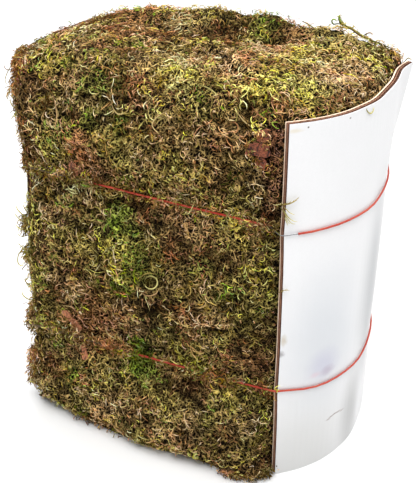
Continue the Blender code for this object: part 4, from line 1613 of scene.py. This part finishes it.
    def tint(self, form: StrandForm, kind: Array, tone: Array, warm: Array,
             height: Array) -> Array:
        """The colour of each point of each strand.

        Args:
            form: the strands' form.
            kind: each strand's kind.
            tone: each strand's brightness.
            warm: how far each strand is browner, or greener, than its kind.
            height: how high each point stands over the CAD's skin; lower points are painted darker,
                as shade.

        Returns:
            Linear colours: strand, point, channel.
        """
        rng, count = self.surface.rng, len(kind)
        root, tip = (np.array([linear(colour) for colour in colours])[kind] for colours in zip(
            *((look.root, look.tip) for look in LOOKS)))
        tip = tip * rng.normal(1.0, 0.03, (count, 3))
        warm = (warm + rng.normal(0, 0.04, count))[:, None].clip(-0.40, 0.40)
        tip = tip * (1 + warm.clip(min=0) * BROWNER + (-warm).clip(min=0) * GREENER)
        grey = (tip @ LUMINANCE)[:, None]
        tip = grey + (tip - grey) * rng.normal(1.0, 0.10, (count, 1)).clip(0.70, 1.14)
        share = np.clip(form.shade * 3.0, 0, 1)[None, :, None]
        colour = root[:, None] * (1 - share) + tip[:, None] * share
        # Points lower in the moss are painted darker: painted shade down among the strands.
        depth = np.clip(1.08 + height / 0.0042, 0.15, 1.40)
        grain = rng.normal(1.0, 0.26, height.shape).clip(0.35, 1.8)
        shade = np.clip(tone[:, None] * depth * grain, 0.05, 1.75)[..., None]
        return np.clip(colour * shade**SHADE_FALL, 0.001, 0.9)

    def grow(self, form: StrandForm, bends: Bends, place: Array, normal: Array,
             lift: Array) -> tuple:
        """Bends strands and keeps them from standing too far out.

        Args:
            form: the strands' form.
            bends: how they are bent.
            place: the CAD's skin under each root.
            normal: the skin's normal there.
            lift: how far the moss bulges over the CAD's skin there.

        Returns:
            The points, and how high each stands over the CAD's skin.
        """
        points = bends.apply(form)
        height = ((points - place[:, None]) * normal[:, None]).sum(-1)
        sunk = np.minimum(((bends.start - place) * normal).sum(1) + 0.0026, 0)
        extra = 0.75 * np.maximum(height - (self.proud + lift + sunk)[:, None], 0)
        return points - normal[:, None] * extra[..., None], height - extra

    def region_of(self, place: Array, normal: Array) -> Array:
        """The number of the region that each strand goes in."""
        y, z = place[:, 1], place[:, 2]
        region = np.where(y > 0.0, 5, 0) + (z > 0.140) + (z > 0.270)
        return np.where((normal[:, 2] > 0.55) & (z > 0.38), np.where(y > 0.01, 4, 3), region)

    def dress(self) -> None:
        """Grows every strand and frond, and joins them by region."""
        clumps, surface = self.clumps, self.surface
        regions: list = [[] for _ in REGIONS]
        for layer in self.layers():
            form = layer.form
            bends, place, normal, index, kind = self.lay_out(layer)
            # Strands on the sides get a wider spread of tone than those on top: painted light and
            # shade among them, which the dimmer side light leaves out.
            spread = np.where(normal[:, 2] > 0.5, 0.32, 0.60) * surface.rng.normal(size=len(kind))
            tone = clumps.tone[index] * (1 + spread).clip(0.20, 2.05)
            points, height = self.grow(form, bends, place, normal, clumps.lift[index])
            lines = points[:, np.linspace(0, len(form.points) - 1, 9).astype(int)]
            keep = self.clear_of_ties(lines) & ~surface.inside_board(lines)
            points = np.clip(points, np.array(CAD_BOX[0]) - 0.001, np.array(CAD_BOX[1]) + 0.001)
            points[..., 2] = np.maximum(points[..., 2], ON_FLOOR) + foot_rise(points)
            tints = self.tint(form, kind, tone * layer.tone, clumps.warm[index], height)
            region = self.region_of(place, normal)
            for number, batches in enumerate(regions):
                pick = keep & (region == number)
                batches.append(StrandBatch(form).add(points[pick], tints[pick]))
            LOG.info("layer of %d strands, %d faces each", keep.sum(), len(form.faces))
        for name, batches in zip(REGIONS, regions):
            add_piece(joined_mesh(f"moss_strands_{name}", batches), self.strand, MOSS)

    def arches(self, foot: Array, ahead: Array, down: Array, length: tuple, tone: float,
               spare: float, kinds: tuple = (), at_tie: bool = False) -> StrandBatch:
        """Makes strands that arch over something, without those that touch a board.

        Args:
            foot: where each strand roots.
            ahead: the direction in which each sets off.
            down: the direction in which each bends back.
            length: the least and the greatest length.
            tone: how bright they are.
            spare: how near a board they may come.
            kinds: the kinds they are drawn from, where not the clumps' own.
            at_tie: whether they leave the bare stretches of the ties in view.

        Returns:
            The batch of strands.
        """
        clumps, rng, form, count = self.clumps, self.surface.rng, StrandForm.curl(), len(foot)
        ahead = unit(ahead + rng.normal(0, 0.25, (count, 3)))
        side = np.cross(ahead, down)
        inward = unit(down - ahead * (down * ahead).sum(1, keepdims=True)
                      + side * rng.normal(0, 0.5, (count, 1)))
        bends = Bends(foot, ahead, inward, rng.uniform(*length, count),
                      rng.uniform(1.2, 3.4, count), rng.random(count) * 0.0012,
                      rng.random(count), rng.uniform(*self.arch_girth, count))
        points = bends.apply(form)
        if at_tie:
            clear = self.clear_of_ties(points[:, ::2])
            points, foot, count = points[clear], foot[clear], clear.sum()
        index, _ = clumps.nearest(foot)
        kind = pick_kinds(rng.random(count), clumps.mix[index])
        if kinds:
            kind = rng.choice([KINDS.index(one) for one in kinds], count)
        points[..., 2] = np.maximum(points[..., 2], ON_FLOOR)
        keep = ~self.surface.inside_board(points[:, ::2], spare)
        tone = tone * clumps.tone[index] * rng.normal(1.0, 0.32, count).clip(0.3, 1.9)
        # A made-up depth for each arching strand, by which tint paints it darker as shade.
        depth = np.repeat(rng.uniform(-0.0035, 0.0010, (count, 1)), points.shape[1], 1)
        tints = self.tint(form, kind, tone, clumps.warm[index], depth)
        return StrandBatch(form).add(points[keep], tints[keep])

    def cover_ties(self) -> None:
        """Grows strands over the ties' hidden stretches, and beside the bare ones."""
        rng = self.surface.rng
        batches = []
        for run in TIE_RUNS:
            span, out = run.end - run.start, run.out
            along = unit(span)
            spacing, low, high = ((0.00034, 0.0002, 0.0018) if run.bare
                                  else (0.00024, 0.0004, run.cover))
            count = int(np.linalg.norm(span) / spacing)
            foot = run.start + span * rng.random((count, 1))
            off = out * rng.uniform(low, high, (count, 1))
            if run.bare:
                beside = rng.choice((-1, 1), (count, 1)) * rng.uniform(0.0012, 0.0050, (count, 1))
                foot += off + UP * (0.0003 + beside)
            else:
                foot += off + UP * rng.normal(0, 0.0040, (count, 1))
            turn = rng.uniform(0, TURN, (count, 1))
            side = rng.choice((-1.0, 1.0), (count, 1))
            ahead = np.cos(turn) * along + np.sin(turn) * UP + 0.15 * out
            down = (np.cos(turn) * UP - np.sin(turn) * along) * side - 0.25 * out
            batches.append(self.arches(foot, ahead, unit(down), run.length, 1.0, self.tie_spare,
                                       at_tie=True))
        add_piece(joined_mesh("moss_strands_over_ties", batches), self.strand, MOSS)

    def cover_edges(self) -> None:
        """Grows the fringes that spill over the edges of the boards and the block."""
        rng = self.surface.rng
        batches = []
        for fringe in FRINGES:
            line = catmull(np.array(fringe.line), 60)
            spot = rng.random(fringe.count) * 58.99
            low = spot.astype(int)
            foot = line[low] + (line[low + 1] - line[low]) * (spot - low)[:, None]
            foot = foot + rng.normal(0, fringe.spread, foot.shape)
            bottom, top = fringe.gap
            foot = foot[(foot[:, 2] < bottom) | (foot[:, 2] > top)]
            ahead = np.array(fringe.outward) + rng.normal(0, 0.45, foot.shape)
            down = np.tile(fringe.droop, (len(foot), 1))
            batches.append(self.arches(foot, ahead, down, fringe.length, fringe.tone,
                                       self.edge_spare, fringe.kinds))
        add_piece(joined_mesh("moss_strands_over_edges", batches), self.strand, MOSS)


@dataclass(frozen=True)
class Fringe:
    """Moss that spills over an edge. Nothing grows in its gap, from one height to another."""

    line: tuple
    outward: tuple
    droop: tuple
    length: tuple
    count: int
    spread: float
    tone: float
    kinds: tuple
    gap: tuple

    @classmethod
    def read(cls, line: tuple, outward: tuple, droop: tuple, length: tuple, count: int,
             spread: int, tone: int, kinds: tuple = (), gap: tuple = (0, 0)) -> "Fringe":
        """A fringe from a row in tenths of a millimetre, directions and tone in hundredths.

        Args:
            line: the line that the strands root along.
            outward: the direction in which they set off.
            droop: the direction in which they bend.
            length: the least and the greatest length, in millimetres.
            count: how many strands there are.
            spread: how far they stray from the line.
            tone: how bright they are.
            kinds: the kinds they are drawn from, where not the clumps' own.
            gap: the heights in millimetres between which none grow.

        Returns:
            The fringe.
        """
        return cls(read_line(line), parts_of(outward, 100), parts_of(droop, 100),
                   parts_of(length, MILLI), count, spread / TENTHS, tone / 100, kinds,
                   parts_of(gap, MILLI))


FOOT_KINDS = (OLIVE, TAN, BROWN)
TUFT_KINDS = (LICHEN, LIME, OLIVE, TAN)
FRINGES = tuple(Fringe.read(*row) for row in (
    (((-1580, -900, 120), (-1575, -850, 1100), (-1575, -780, 2000), (-1570, -720, 2900),
     (-1605, -710, 3400), (-1645, -690, 3700), (-1620, -655, 3940)), (-60, -65, 10),
     (50, -20, -80), (5, 12), 2700, 21, 125, (), (252, 284)),
    (((-1580, -630, 3985), (-1710, -420, 3995), (-1790, -200, 3995), (-1825, 50, 3995),
     (-1835, 300, 3995), (-1815, 600, 3990), (-1790, 900, 3985), (-1770, 1120, 3980)),
     (-70, -15, 20), (0, 0, -100), (5, 10), 1800, 20, 80),
    (((-1480, -880, 120), (-1430, -985, 110), (-1300, -1055, 110), (-1088, -1105, 110),
     (-736, -1150, 60), (-205, -1145, 60), (350, -1095, 100), (700, -1080, 100)), (0, -30, 30),
     (0, 30, -50), (4, 8), 800, 26, 95),
    (((900, -1110, 80), (1030, -1145, 75), (1140, -1130, 75), (1230, -1090, 75), (1310, -1035, 75),
     (1370, -975, 75), (1405, -935, 80)), (0, -30, 30), (50, 40, -50), (3, 6), 950, 34, 85,
     FOOT_KINDS),
    (((-1850, -250, 4000), (-1790, -400, 4000), (-1715, -540, 4000), (-1650, -640, 3990),
     (-1620, -690, 3950)), (-35, -45, 45), (-10, -20, -100), (4, 9), 720, 22, 95,
     (OLIVE, BROWN, TAN)),
    (((-1500, -990, 1400), (-1510, -1010, 1270), (-1515, -1025, 1140), (-1510, -1040, 1010)),
     (-80, -45, 20), (10, 0, -100), (4, 9), 420, 26, 120, FOOT_KINDS),
    (((1480, 980, 4130), (1580, 1030, 4100), (1660, 1060, 4070), (1740, 1080, 4045)), (0, -20, 60),
     (0, 0, -100), (4, 9), 700, 24, 95),
    (((-1019, 870, 4240), (-872, 890, 4250), (-749, 905, 4245), (-581, 890, 4260),
     (-435, 890, 4270), (-343, 970, 4270), (-188, 960, 4295), (-45, 957, 4280), (98, 954, 4250),
     (230, 969, 4280), (364, 976, 4300), (504, 969, 4275), (638, 974, 4245), (776, 967, 4225),
     (912, 956, 4245), (1010, 940, 4255)), (0, 10, 50), (20, -40, -50), (3, 7), 1450, 15, 90),
    (((-1470, -930, 2430), (-1485, -955, 2340), (-1480, -980, 2240)), (-85, -45, 35),
     (10, 0, -100), (8, 15), 130, 24, 60, TUFT_KINDS),
    (((-1475, -975, 2080), (-1480, -995, 2000), (-1480, -1005, 1920)), (-80, -45, 15),
     (0, 0, -100), (8, 13), 110, 24, 72, TUFT_KINDS),
    (((-1460, -1010, 1720), (-1440, -1030, 1560)), (-80, -45, 30), (0, 0, -100), (5, 9), 50, 26,
     110, TUFT_KINDS),
    (((-1500, -1090, 800), (-1515, -1100, 620), (-1525, -1115, 460), (-1510, -1120, 300)),
     (-80, -45, 10), (10, 0, -100), (5, 11), 420, 26, 130, FOOT_KINDS),
    (((-1590, -780, 3900), (-1620, -790, 3800), (-1620, -800, 3740)), (-85, -45, 20),
     (20, 10, -100), (10, 20), 16, 26, 90, (OLIVE, TAN)),
    (((1085, -935, 3770), (1070, -940, 3665), (1155, -940, 3640), (1175, -935, 3570),
     (1250, -930, 3560)), (10, -100, 30), (70, 20, -20), (4, 9), 54, 20, 120, FOOT_KINDS),
    (((1170, -925, 3880), (1240, -925, 3880), (1290, -925, 3760)), (0, -100, 30), (-30, 20, -80),
     (4, 8), 36, 20, 110, FOOT_KINDS),
    (((-950, -1105, 1400), (-860, -1115, 1300), (-760, -1120, 1000)), (30, -100, 20),
     (-60, 20, -50), (4, 9), 44, 22, 110, FOOT_KINDS),
))


# Single strands that the photograph shows standing clear


@dataclass(frozen=True)
class Stray:
    """One strand or frond by its own line."""

    kind: MossKind
    line: Array
    girth: float
    tone: float

    @classmethod
    def read(cls, kind: MossKind, line: tuple, girth: int = 70, tone: int = 100) -> "Stray":
        """A stray from tenths of a millimetre, hundredths of one for the girth, 0 for a frond."""
        return cls(kind, np.array(read_line(line)), girth / 100_000, tone / 100)


def build_strays(name: str, strays: tuple, material: Material, slot: str, *replaced: str,
                 fuzz: int = 0) -> None:
    """Joins the strands, fronds and wisps that stand clear of the mass into one piece.

    Args:
        name: the piece's name.
        strays: the Stray objects that go in it.
        material: its material.
        slot: not used.
        replaced: the CAD nodes that it stands for.
        fuzz: how many short hairs grow along the first line.
    """
    plain = StrandBatch(StrandForm.curl(12))
    feathered = StrandBatch(StrandForm.frond(16, 0.22, 0.022))
    for stray in strays:
        batch = plain if stray.girth else feathered
        length = np.linalg.norm(np.diff(stray.line, axis=0), axis=1).sum()
        points = bend_on_line(batch.form, stray.line, stray.girth or length)
        look = stray.kind.value
        root, tip = np.array(linear(look.root)), np.array(linear(look.tip))
        share = np.clip(batch.form.shade * 1.5, 0, 1)[:, None]
        tint = (root * (1 - share) + tip * share) * stray.tone
        batch.add(np.clip(points, *CAD_BOX), tint[None])
    batches = [plain, feathered]
    if fuzz:
        batches.append(grow_fuzz(strays[0].line, fuzz))
    add_piece(joined_mesh(name, batches), material, slot, *replaced)


def grow_fuzz(line: Array, count: int) -> StrandBatch:
    """Short hairs all along a line."""
    rng = np.random.default_rng(SEED)
    form = StrandForm.curl()
    foot = catmull(line, 200)[rng.integers(0, 200, count)] + rng.normal(0, 0.0005, (count, 3))
    ahead = unit(rng.normal(size=(count, 3)) + np.array((-0.5, 0.0, 0.4)))
    inward = unit(np.cross(ahead, rng.normal(size=(count, 3))))
    straight = np.zeros(count)
    bends = Bends(foot, ahead, inward, rng.uniform(0.0022, 0.0048, count),
                  rng.uniform(0.6, 2.6, count), straight, straight,
                  rng.uniform(0.00035, 0.00055, count))
    tips = np.array([linear(kind.value.tip) for kind in (OLIVE, LIME, GREEN, TAN)])
    tint = tips[rng.integers(0, len(tips), count)] * rng.uniform(0.4, 1.0, (count, 1))
    return StrandBatch(form).add(np.clip(bends.apply(form), *CAD_BOX),
                                 np.repeat(tint[:, None], len(form.points), 1))


STEM = tuple(Stray.read(*row) for row in (
    (OLIVE, ((1626, 1144, 4121), (1578, 1144, 4138), (1513, 1144, 4155), (1449, 1144, 4163),
     (1394, 1144, 4191), (1329, 1144, 4201), (1273, 1144, 4236), (1211, 1144, 4266),
     (1156, 1144, 4278), (1107, 1144, 4287), (1087, 1144, 4330), (1089, 1144, 4386)), 165, 80),
    (GREEN, ((1190, 1140, 4262), (1150, 1140, 4285), (1110, 1140, 4310), (1087, 1140, 4350),
     (1087, 1140, 4388)), 170, 95),
    (GREEN, ((1118, 1144, 4287), (1069, 1144, 4291), (1026, 1144, 4280), (1008, 1144, 4304),
     (1018, 1144, 4326), (1045, 1144, 4326), (1062, 1144, 4306)), 95, 110),
    (LIME, ((1218, 1144, 4254), (1163, 1144, 4257), (1104, 1144, 4260), (1055, 1144, 4258),
     (1013, 1144, 4237)), 90, 80),
    (LIME, ((1190, 1144, 4270), (1140, 1144, 4300), (1105, 1144, 4345), (1100, 1144, 4380)), 0,
     80),
    (TAN, ((1350, 1144, 4200), (1385, 1144, 4230), (1421, 1144, 4245), (1448, 1144, 4235),
     (1434, 1144, 4217)), 80, 80),
    (OLIVE, ((1405, 1144, 4182), (1439, 1144, 4156), (1488, 1144, 4145), (1511, 1144, 4125)), 80),
    (OLIVE, ((1273, 1144, 4236), (1232, 1144, 4210), (1213, 1144, 4176)), 80),
    (LIME, ((1500, 1144, 4155), (1440, 1144, 4172), (1380, 1144, 4200)), 0, 80),
    (OLIVE, ((1300, 1144, 4220), (1250, 1144, 4250), (1200, 1144, 4270)), 0),
))

STRAYS = tuple(Stray.read(*row) for row in (
    (LICHEN, ((1872, -189, 4006), (1893, -199, 3964), (1907, -148, 3920), (1918, -103, 3930),
     (1921, -94, 3970)), 60),
    (OLIVE, ((-1551, -791, 4076), (-1597, -821, 4016), (-1637, -847, 3946), (-1659, -864, 3874),
     (-1641, -857, 3812)), 50),
    (BROWN, ((-1560, -788, 4010), (-1612, -822, 3975), (-1651, -846, 3988), (-1664, -850, 4040)),
     50),
    (TAN, ((-1541, -798, 3948), (-1600, -832, 3908), (-1622, -850, 3847), (-1600, -842, 3790),
     (-1568, -825, 3800)), 50),
    (OLIVE, ((-1530, -830, 3820), (-1585, -862, 3800), (-1612, -880, 3750), (-1590, -872, 3700)),
     50),
    (OLIVE, ((-1518, -869, 3583), (-1557, -895, 3617), (-1576, -910, 3661), (-1577, -915, 3716))),
    (LIME, ((-1464, -951, 2327), (-1518, -985, 2426), (-1564, -1015, 2500), (-1574, -1025, 2562))),

    (LICHEN, ((-1462, -957, 2305), (-1530, -998, 2357), (-1578, -1028, 2420),
     (-1597, -1043, 2482)), 0),
    (LIME, ((-1452, -960, 2260), (-1516, -998, 2263), (-1567, -1031, 2290), (-1597, -1052, 2341))),

    (LICHEN, ((-1451, -969, 2217), (-1507, -1004, 2195), (-1561, -1038, 2197),
     (-1581, -1054, 2249)), 0),
    (OLIVE, ((-1449, -941, 2398), (-1494, -970, 2497), (-1513, -985, 2559))),
    (LICHEN, ((-1451, -1026, 1972), (-1498, -1056, 2050), (-1537, -1081, 2114),
     (-1560, -1099, 2142)), 0),
    (LIME, ((-1462, -1034, 2048), (-1525, -1073, 2051), (-1568, -1100, 1979), (-1573, -1108, 1893),
     (-1536, -1092, 1857), (-1508, -1082, 1923))),
    (OLIVE, ((-1439, -1065, 1614), (-1482, -1093, 1642), (-1503, -1109, 1697),
     (-1488, -1105, 1738))),
    (LIME, ((-1452, -1061, 1423), (-1507, -1095, 1440), (-1548, -1122, 1495),
     (-1550, -1127, 1551))),
    (OLIVE, ((1357, -888, 3207), (1420, -905, 3238), (1480, -905, 3260), (1520, -866, 3277),
     (1553, -836, 3320)), 0),
    (OLIVE, ((1357, -890, 3203), (1420, -907, 3233), (1480, -907, 3254), (1520, -868, 3272)), 40,
     80),
    (LICHEN, ((1372, -877, 3196), (1441, -920, 3182), (1475, -903, 3122), (1510, -866, 3072),
     (1544, -831, 3054)), 50),
    (LICHEN, ((1380, -880, 3190), (1445, -925, 3170), (1472, -905, 3105), (1500, -875, 3050),
     (1530, -845, 3035)), 40),
    (LICHEN, ((1387, -864, 3184), (1454, -926, 3158), (1469, -907, 3082), (1489, -880, 3043)), 40),

    (LIME, ((1379, -872, 3216), (1460, -922, 3208), (1488, -892, 3161), (1523, -858, 3133)), 40),
    (LICHEN, ((1410, -890, 3130), (1462, -912, 3082), (1475, -890, 3023)), 40),
    (OLIVE, ((1375, -877, 2280), (1446, -924, 2328), (1480, -909, 2351), (1515, -873, 2331)), 0),
    (TAN, ((1349, -857, 97), (1408, -829, 57), (1449, -811, -12), (1472, -804, -66))),
    (OLIVE, ((-210, 840, 4301), (-199, 842, 4365), (-183, 846, 4429)), 0),
    (BROWN, ((-198, 841, 4313), (-159, 857, 4366), (-130, 869, 4388))),
    (OLIVE, ((-207, 858, 4307), (-242, 835, 4361), (-268, 816, 4384))),
    (TAN, ((-950, 817, 4256), (-955, 810, 4311), (-971, 797, 4350))),
    (OLIVE, ((-949, 817, 4266), (-927, 825, 4300), (-896, 837, 4312))),
    (OLIVE, ((1812, 1071, 4010), (1852, 1088, 4063), (1890, 1104, 4043))),
    (OLIVE, ((223, 886, 4345), (233, 887, 4392), (271, 903, 4414), (309, 919, 4389),
     (303, 911, 4349))),
    (LICHEN, ((813, 763, 4391), (895, 803, 4346), (979, 844, 4281), (1044, 875, 4230),
     (1101, 901, 4190)), 90),
    (STRAW, ((-697, 559, 4159), (-601, 607, 4223), (-487, 665, 4256), (-355, 732, 4288))),
    (STRAW, ((-647, 542, 4234), (-535, 599, 4202), (-413, 661, 4213), (-345, 692, 4257))),
    (TAN, ((-736, 588, 4232), (-643, 634, 4168), (-529, 691, 4147), (-415, 749, 4158))),
    (DARK, ((-848, -1112, 1421), (-856, -1121, 1489), (-864, -1130, 1536))),
    (STRAW, ((-1012, -1160, 1546), (-935, -1122, 1542), (-859, -1086, 1505)), 50),
    (LICHEN, ((66, -1145, 2143), (88, -1138, 2210), (134, -1117, 2229), (183, -1095, 2202),
     (192, -1095, 2140), (162, -1116, 2090), (112, -1148, 2093), (81, -1169, 2149)), 90),
    (TAN, ((19, -1168, 2083), (54, -1154, 2014), (108, -1129, 1993), (173, -1099, 2025),
     (203, -1087, 2092))),
    (OLIVE, ((21, -1148, 2143), (43, -1140, 2215), (99, -1115, 2252), (161, -1086, 2243))),
    (STRAW, ((-333, -958, 3967), (-313, -951, 3851), (-272, -934, 3792), (-203, -901, 3813),
     (-165, -885, 3894))),
    (STRAW, ((920, -856, 4059), (938, -851, 3995), (979, -833, 3931), (1036, -807, 3876),
     (1069, -794, 3858))),
    (STRAW, ((297, -900, 3943), (242, -934, 3907), (171, -978, 3851), (139, -1000, 3775),
     (203, -970, 3688))),
    (TAN, ((-1010, -952, 3888), (-991, -947, 3778), (-982, -946, 3645), (-1007, -964, 3521))),
    (LICHEN, ((483, -802, 4170), (571, -759, 4143), (651, -720, 4078), (692, -702, 3984))),
    (RUST, ((1063, -852, 4092), (1104, -834, 4029), (1152, -812, 3984), (1200, -791, 3948))),
    (RUST, ((891, -930, 3912), (931, -913, 3932), (964, -900, 3896), (958, -907, 3841),
     (921, -931, 3834))),
    (LICHEN, ((537, -909, 3072), (514, -926, 3011), (490, -944, 2949))),
    (LIME, ((68, -898, 3020), (34, -921, 2968), (1, -944, 2927))),
    (LICHEN, ((850, -940, 3046), (892, -921, 2985), (911, -915, 2934))),
))


# Bark, wires, floor, light and camera


@dataclass
class BarkFlakes:
    """The flakes of bark: the CAD's plain slabs, made finer, with ragged edges and a rough relief.
    """

    relief: float = 0.0010
    grain: float = 300.0
    growth: float = 1.13
    ragged: float = 0.34

    def build(self, dark: Material, pale: Material) -> None:
        """Makes each flake in place of its plain solid.

        Args:
            dark: the material of the upper right flakes.
            pale: the material of the left ones.
        """
        for node in sorted(name for name in frame["nodes"] if name.startswith("bark_flake")):
            shape = welded_copy(node)
            for _ in range(2):
                bmesh.ops.subdivide_edges(shape, edges=shape.edges, cuts=1, use_grid_fill=True)
                bmesh.ops.triangulate(shape, faces=shape.faces)
            middle = sum((vertex.co for vertex in shape.verts), Vector()) / len(shape.verts)
            for vertex in shape.verts:
                away = vertex.co - middle
                edge = Vector((away.x, 0.0, away.z)).normalized() * 1.7 + middle * 90
                grown = self.growth + self.ragged * noise.noise(edge)
                vertex.co = middle + Vector((away.x * grown, away.y, away.z * grown))
            shape.normal_update()
            for vertex in shape.verts:
                at = Vector((vertex.co.x, vertex.co.y, vertex.co.z * 0.55)) * self.grain
                vertex.co += vertex.normal * (self.relief * (noise.noise(at) - 0.2))
            add_piece(mesh_from(shape, f"{node}_detail", 50.0), pale if "left" in node else dark,
                      node, node)


@dataclass
class Studio:
    """The pale floor, the soft lights and the camera at the photograph's angle."""

    camera_place: tuple = (0.4243, -0.7506, 0.6944)
    heading: tuple = (-0.477, 0.879, 0.0)
    pitch: float = 0.519
    roll: float = 0.006
    lens: float = 67.38
    floor_size: float = 12.0
    surround: float = 0.40

    @staticmethod
    def link(name: str, data: bpy.types.ID) -> bpy.types.Object:
        """Links an object that holds some data."""
        item = bpy.data.objects.new(name, data)
        bpy.context.scene.collection.objects.link(item)
        return item

    def build_floor(self) -> None:
        """Makes the floor."""
        shape = bmesh.new()
        bmesh.ops.create_grid(shape, x_segments=1, y_segments=1, size=self.floor_size / 2)
        coat = Coat("studio_floor")
        cloud = add_node(coat.tree, "TexNoise", {"Vector": coat.place, "Scale": 1.5, "Detail": 2.0})
        colour = coat.mix(cloud.outputs[0], (0.76,) * 3, (0.78,) * 3)
        mesh = mesh_from(shape, "studio_floor")
        mesh.materials.append(coat.finish(colour, 0.9))
        self.link("studio_floor", mesh)

    def add_light(self, name: str, place: tuple, target: tuple, size: float, power: float) -> None:
        """Adds a square soft light.

        Args:
            name: the light's name.
            place: where it hangs.
            target: what it points at.
            size: the length of its side.
            power: its power in watts.
        """
        light = bpy.data.lights.new(name, "AREA")
        light.shape, light.size, light.energy = "SQUARE", size, power
        lamp = self.link(name, light)
        lamp.location = place
        lamp.rotation_euler = (Vector(target) - Vector(place)).to_track_quat("-Z", "Y").to_euler()

    def build_lights(self) -> None:
        """Makes the lights and the pale surround."""
        self.add_light("ceiling", (0.0, 0.5, 2.6), (0.0, 0.5, 0.0), 4.2, 165.0)
        self.add_light("key", (0.30, -0.80, 1.60), (0.0, 0.0, 0.25), 0.6, 11.0)
        world = bpy.data.worlds.new("surround")
        world.use_nodes = True
        fill(world.node_tree, world.node_tree.nodes["Background"],
             {"Color": (1.0, 1.0, 1.0, 1.0), "Strength": self.surround})
        bpy.context.scene.world = world
        bpy.context.scene.view_settings.view_transform = "Standard"

    def build_camera(self) -> None:
        """Places the camera."""
        heading, up = Vector(self.heading).normalized(), Vector((0, 0, 1))
        right = heading.cross(up)
        look = heading * math.cos(self.pitch) - up * math.sin(self.pitch)
        over = heading * math.sin(self.pitch) + up * math.cos(self.pitch)
        turned_right = right * math.cos(self.roll) - over * math.sin(self.roll)
        turned_up = right * math.sin(self.roll) + over * math.cos(self.roll)
        lens = bpy.data.cameras.new("camera")
        lens.sensor_fit, lens.sensor_height, lens.lens = "VERTICAL", 36.0, self.lens
        lens.clip_start, lens.clip_end = 0.05, 50.0
        camera = self.link("camera", lens)
        turn = Matrix((turned_right, turned_up, -look)).transposed().to_4x4()
        camera.matrix_world = Matrix.Translation(self.camera_place) @ turn
        bpy.context.scene.camera = camera

    def build(self) -> None:
        """Makes the whole studio."""
        self.build_floor()
        self.build_lights()
        self.build_camera()


def dress_wires(effects: SharedEffects) -> None:
    """Gives the CAD's wires their finishes."""
    red = ((170, 40, 20), (196, 92, 66), 0.42, 0.0)
    steel = ((110, 110, 112), (168, 168, 168), 0.32, 1.0)
    for node, name, look, soiled in (
            ("tie_wire_upper", "red_wire_upper", red, ((-0.125, 0.064), (0.132, 0.011))),
            ("tie_wire_lower", "red_wire_lower", red, ((-0.090, 0.082), (0.073, 0.026))),
            ("tie_wire_upper_core", "bare_wire_core", steel, ())):
        materials = frame["nodes"][node].data.materials
        materials.clear()
        materials.append(WireFinish(name, *look, soiled).build(effects))
        LOG.info("%s: dressed", node)


def main() -> None:
    """Builds the bale's looks."""
    logging.basicConfig(level=logging.INFO, format="%(name)s %(message)s")
    Studio().build()
    effects = SharedEffects.build()
    strand = StrandFinish("moss_strand").build(effects)
    # The flute paper's dark brown is partly its own colour and partly painted shade of the hollows
    # between the liners.
    kraft, middle, flute = (finish.build(effects) for finish in (
        KraftFinish("board_kraft"), KraftFinish("board_middle", (176, 128, 100), (110, 72, 52)),
        KraftFinish("board_flute_painted_shade", (132, 88, 66), (66, 40, 28))))
    for side, plan, marks in (("right", RIGHT_PLAN, RIGHT_BOARD_MARKS_AND_SHADE),
                              ("left", LEFT_PLAN, LEFT_BOARD_MARKS)):
        liner = LinerFinish(f"board_{side}_paper", marks).build(effects)
        CorrugatedBoard(side, plan).build(liner, kraft, middle, flute)
    dress_wires(effects)
    BarkFlakes().build(BarkFinish("bark_dark").build(effects),
                       BarkFinish("bark_pale", (190, 122, 82), (92, 54, 34)).build(effects))
    build_strays("loose_stem_detail", STEM, strand, "loose_stem", "loose_stem", fuzz=90)
    surface = MossSurface(np.random.default_rng(SEED))
    moss = MossBale(surface, ClumpField(surface), strand)
    LOG.info("clumps: %d", len(moss.clumps.place))
    moss.build_body(MossBodyFinish("moss_mass").build(effects))
    moss.dress()
    moss.cover_ties()
    moss.cover_edges()
    build_strays("moss_stray_strands", STRAYS, strand, MOSS)
    total = sum(len(item.data.polygons) for item in bpy.data.objects
                if item.type == "MESH" and not item.hide_render)
    LOG.info("all pieces: %d faces", total)


if __name__ == "__main__":
    main()
